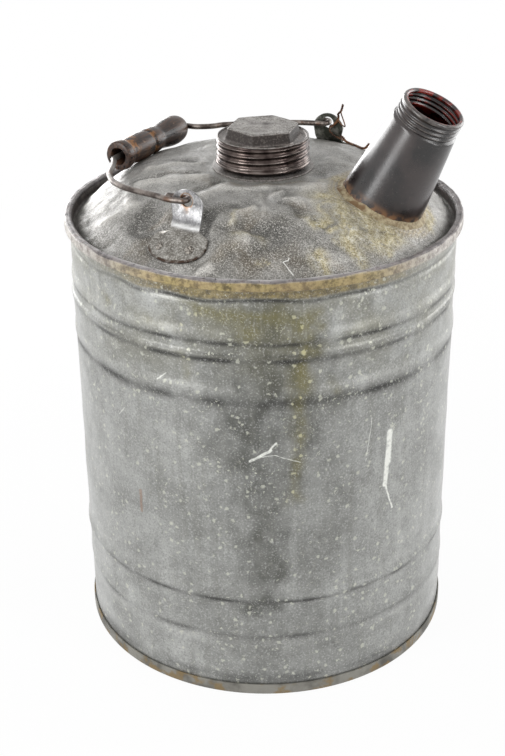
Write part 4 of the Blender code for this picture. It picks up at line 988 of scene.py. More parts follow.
def make_base():
    """The bottom: a stepped disc whose edge folds down and up round the wall's foot."""
    fold = BASE_FOLD_CENTRE + BASE_FOLD_RADIUS * circle(np.radians(np.linspace(*BASE_FOLD_TURNS)))
    path = [
        (BASE_FOLD_CENTRE[0] + BASE_FOLD_RADIUS, BASE_SEAM_HEIGHT), *fold, (BASE_PANEL_RADIUS, BASE_RECESS),
        (BASE_STEP_RADIUS + BASE_STEP_WIDTH, BASE_RECESS), (BASE_STEP_RADIUS, BASE_RECESS + BASE_STEP),
        (BASE_AXIS_RADIUS, BASE_RECESS + BASE_STEP),
    ]
    path = finely(path, BASE_SPACING)
    outline = np.vstack([beside(path, SHEET / 2), beside(path, -SHEET / 2)[::-1]])
    outline[:, 1] = np.maximum(outline[:, 1], 0)
    return settled(surface("can_bottom", turned(outline, BASE_COLUMNS)))


def thread(turn, height, pitch, datum, low, high):
    """Share of a right-hand thread's depth: crests at datum plus whole pitches, rising a pitch a turn."""
    phase = (height - datum) / pitch - turn / FULL_TURN
    ridge = (0.5 + 0.5 * np.cos(FULL_TURN * phase)) ** THREAD_SHARPNESS
    rise = smooth_step(height, low - pitch / 4, low + pitch / 4)
    return ridge * rise * (1 - smooth_step(height, high - pitch / 4, high + pitch / 4))


def make_neck():
    """The filler neck: a flange on the dome, a threaded wall and a spigot down through the dome."""
    wall = [(NECK_ROOT_RADIUS, height) for height in np.linspace(*NECK_WALL_ROWS)]
    grid = turned([*NECK_LIP_PROFILE, *wall, *NECK_FOOT_PROFILE], CAP_COLUMNS)
    rows = slice(len(NECK_LIP_PROFILE), len(NECK_LIP_PROFILE) + len(wall))
    low = THREAD_DATUM - NECK_TURNS * THREAD_PITCH
    share = thread(turns(CAP_COLUMNS), grid[rows, :, 2], THREAD_PITCH, THREAD_DATUM, low, THREAD_DATUM)
    grid[rows, :, :2] *= (1 + THREAD_DEPTH * share / NECK_ROOT_RADIUS)[..., None]
    neck = settled(surface("filler_neck", grid))
    painted(neck, "dust", NECK_DUST * (1 - smooth_step(corners(neck)[:, 2], *NECK_DUST_FADE)))
    return neck


def hexed(turn, corner):
    """Radius of a hexagon with rounded corners: a high power mean of its six flats."""
    reach = np.zeros(len(turn))
    for k in range(6):
        reach += np.maximum(np.cos(turn - HEX_TURN - math.radians(30 + 60 * k)), 0) ** HEX_SHARPNESS
    return corner * math.cos(math.radians(30)) * reach ** (-1 / HEX_SHARPNESS)


def make_cap():
    """The screw cap: a pressed hexagon, a moat, a rim, rolled threads and a beaded edge, then its inside."""
    turn = turns(CAP_COLUMNS)
    ring = circle(turn)
    foot = HEX_CORNER_RADIUS + HEX_FOOT_SPREAD
    last_crest = THREAD_DATUM - CAP_TURNS * THREAD_PITCH

    def skirt(radius, levels, high):
        """Rows of the threaded skirt, which is at its full width below the last crest."""
        made = []
        for height in np.linspace(*levels):
            share = thread(turn, height, THREAD_PITCH, THREAD_DATUM, CAP_EDGE, high)
            plain = 1 - smooth_step(height, *(last_crest + offset for offset in CAP_SKIRT_FADE))
            made.append((radius + THREAD_DEPTH * np.maximum(share, plain), height))
        return made

    rows = [(ON_AXIS, CAP_TOP - HEX_SAG)]
    for share in HEX_ROW_SHARES:
        worn = uneven(ring * share, HEX_RIPPLES) - HEX_SAG * (1 - share**2)
        rows.append((share * hexed(turn, HEX_CORNER_RADIUS), CAP_TOP + np.minimum(worn, 0)))
    rows += [(hexed(turn, HEX_CORNER_RADIUS - inset), CAP_TOP - drop) for inset, drop in HEX_BEVEL]
    for share in np.linspace(*HEX_SIDE_ROWS):
        corner = HEX_CORNER_RADIUS + HEX_FOOT_SPREAD * share**HEX_FOOT_CURVE
        rows.append((hexed(turn, corner), CAP_TOP - HEX_DROP - (CAP_TOP - 2 * HEX_DROP - CAP_MOAT) * share))
    for share, height in CAP_MOAT_ROWS:
        rows.append((hexed(turn, foot) * (1 - share) + CAP_RIM_INSIDE * share, CAP_MOAT + height))
    rows += [*CAP_RIM_PROFILE, *skirt(CAP_ROOT_RADIUS, CAP_THREAD_ROWS, CAP_THREAD_ROWS[0])]
    rows += CAP_EDGE_PROFILE
    rows += skirt(CAP_ROOT_RADIUS - CAP_SHEET, CAP_INSIDE_ROWS, THREAD_DATUM + THREAD_PITCH / 4)
    rows += [
        (CAP_ROOT_RADIUS - CAP_SHEET, CAP_CEILING), (hexed(turn, foot - CAP_SHEET), CAP_CEILING),
        (hexed(turn, HEX_CORNER_RADIUS - CAP_SHEET), CAP_TOP - CAP_SHEET), (ON_AXIS, CAP_TOP - CAP_SHEET),
    ]
    grid = np.array([round_axis(radius, turn, height) for radius, height in rows])
    cap = settled(surface("screw_cap", grid, loop=False))
    points = corners(cap)
    radius, height = off_axis(points), points[:, 2]
    outside = smooth_step(radius, *CAP_OUTSIDE_FADE)
    top = smooth_step(height, *CAP_TOP_FADE)
    moat = smooth_step(height, *CAP_MOAT_FADE) - smooth_step(height, *CAP_MOAT_END)
    rim = CAP_RIM_DUST * smooth_step(height, *CAP_RIM_FADE) * (1 - top) * outside
    painted(cap, "dust", max_of([top, CAP_MOAT_DUST * moat * (1 - outside), rim]))
    painted(cap, "side", smooth_step(height, *CAP_SIDE_FADE) * (1 - top) * (1 - outside))
    # Painted highlight along the thread's crests, uneven
    full = CAP_ROOT_RADIUS + THREAD_DEPTH
    crest = smooth_step(radius, CAP_ROOT_RADIUS + THREAD_DEPTH * CAP_HIGHLIGHT_START, full)
    worn = np.clip(CAP_HIGHLIGHT_MEAN + uneven(points / radius[:, None], CAP_HIGHLIGHT_RIPPLES), 0, 1)
    painted(cap, "crest", crest * worn)
    return cap


def make_gasket():
    """The flat ring under the cap."""
    (low, high), (inner, outer) = GASKET_LEVELS, GASKET_RADII
    outline = [(inner, high), (outer, high), (outer, low), (inner, low), (inner, high)]
    outline = rounded(finely(outline, GASKET_SPACING))
    return settled(surface("gasket_ring", turned(outline[:-1], GASKET_COLUMNS)))


def spout_matrix():
    """The spout's own frame in the can's."""
    return Matrix.Translation(SPOUT_FOOT) @ Matrix.Rotation(SPOUT_TILT, 4, "Y")


def spout_radius(along):
    """Outer radius of the spout's cone at a distance from its foot."""
    return SPOUT_FOOT_RADIUS + (SPOUT_SHOULDER_RADIUS - SPOUT_FOOT_RADIUS) * along / SPOUT_SHOULDER


def spout_point(turn, radius, along):
    """Points of the spout's frame, in the can's."""
    return from_frame(round_axis(radius, turn, along), spout_matrix())


def dome_top(x, y):
    """Height of the dented dome's upper face."""
    radius = np.hypot(x, y)
    slope = (dome_height(radius + SHEET) - dome_height(radius - SHEET)) / (2 * SHEET)
    return dome_height(radius) + SHEET / 2 * np.sqrt(1 + slope**2) + dome_dents(x, y)


def spout_foot(turn):
    """Where the cone meets the dome at each turn, along the spout's axis, found by halving."""

    def is_above(along):
        point = spout_point(turn, spout_radius(along), along)
        return point[:, 2] > dome_top(point[:, 0], point[:, 1])

    reach = np.full(len(turn), SPOUT_FOOT_SEARCH)
    return halved(-reach, reach, SPOUT_FOOT_HALVINGS, is_above)


def make_spout():
    """The spout: a rolled lip, three rolled threads, a shoulder and a cone that ends on the dome."""
    turn = turns(SPOUT_COLUMNS)
    foot = spout_foot(turn)
    lip_along = SPOUT_LENGTH - SPOUT_LIP_RADIUS

    def neck(levels, radius):
        datum = SPOUT_THREAD_HIGH - SPOUT_THREAD_PITCH / 2
        share = (
            thread(turn, height, SPOUT_THREAD_PITCH, datum, SPOUT_THREAD_LOW, SPOUT_THREAD_HIGH)
            for height in levels
        )
        return [(radius + SPOUT_THREAD_DEPTH * s, height) for s, height in zip(share, levels)]

    mean, swing, waves = SPOUT_LIP_WAVE
    lip = SPOUT_LIP_RADIUS * (mean + swing * np.sin(waves * turn + 1))
    rows = [
        (SPOUT_LIP_CENTRE + lip * math.cos(angle), lip_along + lip * math.sin(angle))
        for angle in np.radians(np.linspace(*SPOUT_LIP_ROWS))
    ]
    rows += neck(np.linspace(*SPOUT_NECK_ROWS), SPOUT_THREAD_RADIUS)
    rows += SPOUT_SHOULDER_PROFILE
    worn = uneven(circle(turn), SPOUT_RIPPLES)
    for share in np.linspace(0, 1, SPOUT_CONE_ROWS):
        along = SPOUT_SHOULDER * (1 - share) + foot * share
        rows.append((spout_radius(along) + worn * share, along))
    for share in np.linspace(1, 0, SPOUT_CONE_INSIDE_ROWS):
        along = SPOUT_SHOULDER * (1 - share) + foot * share
        rows.append((spout_radius(along) - SPOUT_WALL, along))
    rows += neck(np.linspace(*SPOUT_NECK_INSIDE_ROWS), SPOUT_THREAD_RADIUS - SPOUT_WALL)
    spout = settled(surface("pouring_spout", np.array([spout_point(turn, *row) for row in rows])))
    points = corners(spout)
    local = from_frame(points, spout_matrix().inverted())
    radius, along = off_axis(local), local[:, 2]
    wall = np.where(along > SPOUT_SHOULDER, SPOUT_THREAD_RADIUS, spout_radius(along))
    painted(spout, "inside", 1 - smooth_step(radius - wall, *SPOUT_INSIDE_FADE))
    # Painted shade deep inside the spout
    painted(spout, "deep_shade", 1 - smooth_step(along + uneven(local, SPOUT_SHADE_RIPPLES), *SPOUT_SHADE_FADE))
    above = points[:, 2] - dome_top(points[:, 0], points[:, 1])
    painted(spout, "rust", 1 - smooth_step(above, *SPOUT_RUST_FADE))
    lip = smooth_step(along, lip_along, SPOUT_LENGTH) * SPOUT_LIP_WEAR
    ridge = radius - SPOUT_THREAD_RADIUS
    ridge = smooth_step(ridge, SPOUT_THREAD_DEPTH * SPOUT_CREST_START, SPOUT_THREAD_DEPTH)
    ridge = SPOUT_RIDGE_WEAR * ridge * smooth_step(along, SPOUT_SHOULDER, SPOUT_THREAD_LOW)
    painted(spout, "crest", np.maximum(lip, ridge))
    return spout


def make_solder():
    """The lumpy fillet of solder between the cone and the dome: a curved triangle carried round the foot."""
    turn = turns(SPOUT_COLUMNS)
    lumps = np.clip(1 + uneven(circle(turn), SOLDER_RIPPLES), *SOLDER_LIMITS)
    foot = spout_foot(turn)
    rise = foot + SOLDER_HEIGHT * lumps
    upper = spout_point(turn, spout_radius(rise) + SOLDER_PROUD, rise)
    corner = spout_point(turn, spout_radius(foot) - SOLDER_INSET, foot)
    outward = spout_point(turn, spout_radius(foot) + SOLDER_WIDTH * lumps, foot)
    outward[:, 2] = dome_top(outward[:, 0], outward[:, 1])
    rows = []
    for share in np.linspace(0, 1, SOLDER_ROWS):
        straight = upper * (1 - share) + outward * share
        pull = 4 * share * (1 - share) * SOLDER_HOLLOW
        rows.append(straight * (1 - pull) + corner * pull + [0, 0, SOLDER_LIFT])
    sunk = np.array([0, 0, -SOLDER_SINK])
    rows += [outward + sunk, corner + sunk, spout_point(turn, spout_radius(rise) - SOLDER_SINK, rise)]
    return settled(surface("solder_fillet", np.array(rows)))


def ear_turn(side):
    """The frame of an ear: +X runs out through it from the can's axis."""
    return Matrix.Rotation(EAR_TURN + side * math.pi / 2, 4, "Z")


def over_dome(turn, x, y):
    """Points over places of a turned frame, an ear's gap above the dome's upper face, in that frame."""
    angle = math.atan2(turn[1][0], turn[0][0])
    level = dome_top(x * math.cos(angle) - y * math.sin(angle), x * math.sin(angle) + y * math.cos(angle))
    return np.stack(np.broadcast_arrays(x, y, level + EAR_GAP), axis=-1)


def make_ear(name, side):
    """An ear: rows across a strip that lies on the dome, folds up and ends in a round tab with a hole."""
    turn = ear_turn(side)
    across = np.linspace(-1, 1, EAR_FOOT_COLUMNS)
    rows = []
    for step in np.sin(np.linspace(-math.pi / 2, math.pi / 2, EAR_FOOT_ROWS)):
        from_axis = EAR_FOOT_FROM_AXIS - EAR_FOOT_HALF_LENGTH * step
        half = EAR_FOOT_HALF_WIDTH * math.sqrt(1 - step**2)
        if from_axis > EAR_FOLD_FROM_AXIS + EAR_SHEET:
            rows.append(over_dome(turn, from_axis, EAR_FOOT_SHIFT + half * across))
    fold = over_dome(turn, EAR_FOLD_FROM_AXIS, EAR_FOOT_SHIFT + EAR_WAIST / 2 * across)
    face = EAR_HOLE_FROM_AXIS - EAR_SHEET / 2
    centre = EAR_HOLE_LEVEL - EAR_TAB_DROP
    shoulder = [face, EAR_FOOT_SHIFT / 2, centre - EAR_SHEET * 2]
    upper = shoulder + EAR_WAIST / 2 * across[:, None] * np.array([0, 1, 0])
    rows += [fold, *(fold + (upper - fold) * share for share in EAR_RISE_SHARES)]
    for angle in np.radians(np.linspace(*EAR_TAB_TURNS)):
        half = EAR_TAB_RADIUS * math.cos(angle)
        places = np.broadcast_arrays(face, half * across, centre + EAR_TAB_RADIUS * math.sin(angle))
        rows.append(np.stack(places, axis=-1))
    grid = rounded(np.array(rows).reshape(len(rows), -1)).reshape(-1, len(across), 3)
    ear = surface(name, from_frame(grid, turn), around=False, loop=False)
    if ear.data.polygons[0].normal.z < 0:
        ear.data.flip_normals()
    sheet = ear.modifiers.new("sheet", "SOLIDIFY")
    sheet.thickness = EAR_SHEET
    sheet.offset = 1
    sheet.use_even_offset = True
    reach = 4 * EAR_SHEET
    drill = turned([(ON_AXIS, reach), (EAR_HOLE_RADIUS, reach), (EAR_HOLE_RADIUS, -reach), (ON_AXIS, -reach)],
                   HOLE_COLUMNS)
    hole = Matrix.Translation((EAR_HOLE_FROM_AXIS, 0, EAR_HOLE_LEVEL)) @ Matrix.Rotation(math.pi / 2, 4, "Y")
    plug = surface("ear_plug", from_frame(drill, turn @ hole), loop=False)
    cut_by(ear, plug, "hole")
    edge = ear.modifiers.new("edge", "BEVEL")
    edge.width = EAR_SHEET / 5
    edge.segments = 2
    edge.limit_method = "ANGLE"
    edge.angle_limit = EAR_BEVEL_TURN
    ear = settled(ear, EAR_EDGE_TURN)
    bpy.data.objects.remove(plug)
    local = from_frame(corners(ear), turn.inverted())
    up = local[:, 2] - EAR_HOLE_LEVEL
    tab = smooth_step(up, *EAR_TAB_FADE)
    painted(ear, "tab", tab)
    # Painted highlight on the fold and painted shade over it
    for paint, (level, half) in (("fold", EAR_FOLD_HIGHLIGHT), ("shade", EAR_SHADE)):
        painted(ear, paint, bell(up - level, half))
    from_hole = np.hypot(local[:, 1], up) - EAR_HOLE_RADIUS
    painted(ear, "rim", 1 - smooth_step(from_hole, *EAR_RUST_FADE))
    foot = np.stack([(local[:, 0] - EAR_FOOT_FROM_AXIS) / EAR_FOOT_HALF_LENGTH,
                     (local[:, 1] - EAR_FOOT_SHIFT) / EAR_FOOT_HALF_WIDTH], axis=-1)
    painted(ear, "outline", smooth_step(np.linalg.norm(foot, axis=1), *EAR_OUTLINE_FADE) * (1 - tab))
    return ear


def make_rivet(name, side, sign):
    """A rivet: a low head with a dimple over the ear's foot, a shank, and a tail under the dome."""
    turn = ear_turn(side)
    x, y = RIVET_FROM_AXIS, EAR_FOOT_SHIFT + sign * RIVET_SPACING / 2
    span = EAR_SHEET
    ahead = over_dome(turn, x + span, y) - over_dome(turn, x - span, y)
    aside = over_dome(turn, x, y + span) - over_dome(turn, x, y - span)
    normal = Vector(np.cross(ahead, aside)).normalized()
    head = EAR_SHEET + RIVET_LIFT
    under = -SHEET - EAR_GAP
    outline = [(ON_AXIS, head + RIVET_HEAD_HEIGHT * RIVET_DIMPLE_SHARE)]
    outline += [(RIVET_HEAD_RADIUS * out, head + RIVET_HEAD_HEIGHT * up) for out, up in RIVET_HEAD_SHARES]
    outline += [(RIVET_SHANK_RADIUS, head), (RIVET_SHANK_RADIUS, under)]
    outline += [(radius, under - drop) for radius, drop in RIVET_TAIL_PROFILE]
    place = turn @ Matrix.Translation(Vector(over_dome(turn, x, y))) @ faced(normal, "Z", "X")
    return settled(surface(name, from_frame(turned(rounded(outline), RIVET_COLUMNS), place), loop=False))


def faced(direction, axis, upward):
    """A turn that points one axis in a direction and keeps another upward."""
    return Vector(direction).to_track_quat(axis, upward).to_matrix().to_4x4()


def bail_matrix():
    """The bail's frame: its Y axis lies on the pivot, and -X points to the grip."""
    turn = Matrix.Rotation(EAR_TURN, 4, "Z") @ Matrix.Rotation(BAIL_TILT, 4, "Y")
    return Matrix.Translation((0, 0, EAR_HOLE_LEVEL)) @ turn


def run_direction():
    """Direction of the bail's straight run, from front to rear, in the bail's frame."""
    return np.array([math.sin(BAIL_RUN_SKEW), math.cos(BAIL_RUN_SKEW), 0])


def run_centre():
    """Middle of the grip, in the bail's frame."""
    return np.array([-BAIL_REACH, BAIL_RUN_CENTRE, 0])


def hook(side, radius, length, first_side):
    """A hook's points from its free end round through the ear's hole, in the bail's frame."""
    free = side * (EAR_HOLE_FROM_AXIS - first_side * radius)
    points = [(-length, free, 0), (-(length + radius) / 2, free, 0)]
    for angle in np.radians(np.linspace(90, -90, HOOK_POINTS)):
        across = side * (EAR_HOLE_FROM_AXIS - first_side * radius * math.sin(angle))
        points.append((-radius + radius * math.cos(angle), across, 0))
    return points


def arm(side, shares):
    """An arm's points on one side of the bail, in its frame."""
    start = BAIL_RUN_LENGTH / 2 + side * BAIL_RUN_CENTRE
    span = EAR_HOLE_FROM_AXIS - start
    return [(-reach * BAIL_REACH, side * (start + across * span), 0) for across, reach in shares]


def make_bail():
    """The bail wire: a circle carried along a curve through both hooks, both arms and the straight run."""
    run = BAIL_RUN_LENGTH / 2 * run_direction()
    centre = run_centre()
    front = hook(-1, FRONT_HOOK_RADIUS, FRONT_HOOK_LENGTH, 1)
    rear = hook(1, REAR_HOOK_RADIUS, REAR_HOOK_LENGTH, -1)[::-1]
    straight = [centre - run, centre, centre + run]
    points = front[:-1] + arm(-1, FRONT_ARM_SHARES) + straight + arm(1, REAR_ARM_SHARES) + rear[1:]
    path = from_frame(smooth_through(points, BAIL_STEPS), bail_matrix())
    wire = settled(surface("bail_wire_round", swept(path, WIRE_RADIUS, BAIL_SIDES), loop=False))
    local = -from_frame(corners(wire), bail_matrix().inverted())
    by_grip = smooth_step(local[:, 0], *BAIL_WORN_REACH)
    painted(wire, "worn", by_grip * smooth_step(local[:, 1], *BAIL_WORN_ACROSS))
    return wire


def make_grip():
    """The turned grip: its profile of radius along its length, with a conical mouth at each end, turned."""
    outer = [(radius * GRIP_RADIUS, (along - 1 / 2) * GRIP_LENGTH) for along, radius in GRIP_SHARES]
    half = GRIP_LENGTH / 2
    far = [(radius, half - GRIP_MOUTH_DEPTH * share) for share, radius in GRIP_FAR_BORE]
    near = [(radius, -half + GRIP_MOUTH_DEPTH * share) for share, radius in GRIP_NEAR_BORE]
    profile = np.vstack([smooth_through(outer, GRIP_STEPS), far, near])
    place = bail_matrix() @ Matrix.Translation(Vector(run_centre())) @ faced(run_direction(), "Z", "X")
    grip = settled(surface("turned_grip", from_frame(turned(profile, GRIP_COLUMNS), place)), GRIP_EDGE_TURN)
    local = from_frame(corners(grip), place.inverted())
    painted(grip, "along", local[:, 2] / GRIP_LENGTH + 1 / 2)
    painted(grip, "bore", 1 - smooth_step(off_axis(local), *GRIP_BORE_FADE))
    return grip


def twisted(path, offset, phase):
    """A path wound round another at an offset, with a turn for each pitch of its length."""
    length = np.concatenate([[0], np.cumsum(np.linalg.norm(np.diff(path, axis=0), axis=1))])
    _, side, over = carried(path, TWIST_START)
    angle = (phase + FULL_TURN * length / TETHER_TWIST_PITCH)[:, None]
    return path + offset * (np.cos(angle) * side + np.sin(angle) * over)


def make_tether():
    """The binding wire: two twisted strands through the rear ear's hole and along the dome, and a bight."""
    face = EAR_SHEET / 2 + EAR_GAP + 2 * TETHER_RADIUS
    clear = EAR_HOLE_RADIUS - 2 * TETHER_RADIUS - EAR_GAP
    through = clear * circle(TETHER_PASS_TURN)
    turn = ear_turn(1)

    def place(off_sheet, across, up):
        return np.array(turn @ Vector((EAR_HOLE_FROM_AXIS + off_sheet, across, EAR_HOLE_LEVEL + up)))

    def row(off_sheet, shares):
        return [place(off_sheet, x * EAR_TAB_RADIUS, y * EAR_TAB_RADIUS) for x, y in shares]

    knot = row(0, [TETHER_KNOT_SHARES])
    lift = 2 * TETHER_RADIUS + EAR_GAP
    end = np.array([*TETHER_RUN_END, dome_top(*TETHER_RUN_END) + lift])
    middle = (knot[0] + end) / 2
    middle[2] = dome_top(middle[0], middle[1]) + lift
    curl = end + np.array([TETHER_CURL, TETHER_CURL / 3, TETHER_CURL])
    spread = through * TETHER_PASS_SPREAD
    main = row(-face, TETHER_TAIL_SHARES)
    main += [place(-EAR_SHEET / 2, *through), place(EAR_SHEET / 2, *through), place(face, *spread)]
    main += [*row(face, TETHER_OUTER_SHARES), *knot, middle, end, curl]
    inner = [place(0, *through), place(-face, *spread), *row(-face, TETHER_INNER_SHARES), *knot]
    main, inner = smooth_through(main, TETHER_STEPS), smooth_through(inner, TETHER_STEPS)
    paths = {
        "binding_strand_a": twisted(main, TETHER_RADIUS, 0),
        "binding_strand_b": twisted(main, TETHER_RADIUS, math.pi),
        "binding_return": twisted(inner, TETHER_RADIUS / 2, 1),
        "binding_bight": smooth_through(row(-face, TETHER_BIGHT_SHARES), TETHER_BIGHT_STEPS),
    }
    return [
        settled(surface(name, swept(path, TETHER_RADIUS, TETHER_SIDES), loop=False))
        for name, path in paths.items()
    ]


def tone(red, green, blue):
    """A colour as the photograph shows it, in the linear values that a shader takes."""
    return tuple((value / 255) ** 2.2 for value in (red, green, blue)) + (1.0,)


def joined(tree, socket, value):
    """Links a socket to another, or gives it a value."""
    if isinstance(value, bpy.types.NodeSocket):
        tree.links.new(value, socket)
    else:
        socket.default_value = value


def new_node(tree, kind, sockets=(), **settings):
    """A new node with its settings, and values or links for its sockets."""
    made = tree.nodes.new(kind)
    for name, value in settings.items():
        setattr(made, name, value)
    for socket, value in dict(sockets).items():
        joined(tree, made.inputs[socket], value)
    return made


class Finish:
    """A material: a Principled shader, short ways to put nodes before it, and the colour laid on so far."""

    def __init__(self, name, metallic=0.0, roughness=0.5, **sockets):
        self.material = bpy.data.materials.new(name)
        self.material.use_nodes = True
        self.tree = self.material.node_tree
        self.shader = self.tree.nodes["Principled BSDF"]
        self.colour = None
        for socket, value in {"Metallic": metallic, "Roughness": roughness, **sockets}.items():
            self.shader.inputs[socket.replace("_", " ")].default_value = value
        self.place = self.node("ShaderNodeTexCoord").outputs["Object"]

    def node(self, kind, sockets=(), **settings):
        return new_node(self.tree, kind, sockets, **settings)

    def maths(self, operation, *values, clamp=False):
        return self.node("ShaderNodeMath", enumerate(values), operation=operation, use_clamp=clamp).outputs[0]

    def vectors(self, operation, *values, output=0):
        return self.node("ShaderNodeVectorMath", enumerate(values), operation=operation).outputs[output]

    def attribute(self, name):
        return self.node("ShaderNodeAttribute", attribute_name=name).outputs["Fac"]

    def product(self, *values):
        """The product of numbers, links and painted attributes, which are given by name."""
        total, *others = (self.attribute(value) if isinstance(value, str) else value for value in values)
        for value in others:
            total = self.maths("MULTIPLY", total, value)
        return total

    def noise(self, size, at=None, detail=3.0, roughness=0.55):
        """Cloudy noise of about a size in metres."""
        values = {"Vector": at or self.place, "Scale": 1 / size, "Detail": detail, "Roughness": roughness}
        return self.node("ShaderNodeTexNoise", values).outputs["Fac"]

    def cells(self, size, at=None):
        """Cells of about a size in metres: the distance from each one's centre, and a number for each one."""
        made = self.node("ShaderNodeTexVoronoi", {"Vector": at or self.place, "Scale": 1 / size})
        return made.outputs[0], self.split(made.outputs["Color"])[0]

    def between(self, value, start, end, low=0.0, high=1.0):
        """Runs smoothly from low at start to high at end."""
        values = {0: value, 1: start, 2: end, 3: low, 4: high}
        return self.node("ShaderNodeMapRange", values, interpolation_type="SMOOTHSTEP").outputs[0]

    def patches(self, size, start, end, low=0.0, high=1.0, **noise):
        """Noise of a size, run smoothly from low where it is at start to high where it is at end."""
        return self.between(self.noise(size, **noise), start, end, low, high)

    def blend(self, share, low, high):
        """Mixes two colours, each a link or a tone."""
        low, high = (tone(*colour) if isinstance(colour, tuple) else colour for colour in (low, high))
        return self.node("ShaderNodeMix", {0: share, 6: low, 7: high}, data_type="RGBA").outputs[2]

    def layer(self, colour, *shares):
        """Lays a colour over what is there, by the product of some shares."""
        self.colour = self.blend(self.product(*shares), self.colour, colour)

    def spangle(self, size, share, low, high):
        """Lays the flecks of galvanised sheet over what is there."""
        self.layer(self.blend(self.cells(size)[1], low, high), share)

    def split(self, at=None):
        return self.node("ShaderNodeSeparateXYZ", {0: at or self.place}).outputs

    def stretched(self, scale, at=None):
        """Coordinates scaled by a triple."""
        return self.vectors("MULTIPLY", at or self.place, scale)

    def shifted(self, at, size, reach):
        """Coordinates pushed about by noise, so that edges are ragged."""
        values = {"Vector": at, "Scale": 1 / size, "Detail": 2.0}
        colour = self.node("ShaderNodeTexNoise", values).outputs["Color"]
        centred = self.vectors("SUBTRACT", colour, (0.5, 0.5, 0.5))
        return self.vectors("ADD", at, self.vectors("MULTIPLY", centred, (reach, reach, reach)))

    def stroke(self, at, start, end, width):
        """One on a straight stroke of a half width, fading to zero over half as much again."""
        start, end = (tuple(point) + (0,) * (3 - len(point)) for point in (start, end))
        run = tuple(e - s for s, e in zip(start, end))
        offset = self.vectors("SUBTRACT", at, start)
        along = self.vectors("DOT_PRODUCT", offset, run, output="Value")
        share = self.maths("DIVIDE", along, sum(r * r for r in run), clamp=True)
        foot = self.node("ShaderNodeVectorMath", {0: run, "Scale": share}, operation="SCALE").outputs[0]
        return self.between(self.vectors("DISTANCE", offset, foot, output="Value"), width, width / 2)

    def finished(self, roughness=None, metallic=None, height=None, depth=0.0):
        """Joins the colour, and where given the roughness, the metal and a bump, and returns the material."""
        found = {"Base Color": self.colour, "Roughness": roughness, "Metallic": metallic}
        if height is not None:
            bump = {"Strength": 1.0, "Distance": depth, "Height": height}
            found["Normal"] = self.node("ShaderNodeBump", bump).outputs[0]
        for socket, value in found.items():
            if value is not None:
                joined(self.tree, self.shader.inputs[socket], value)
        return self.material


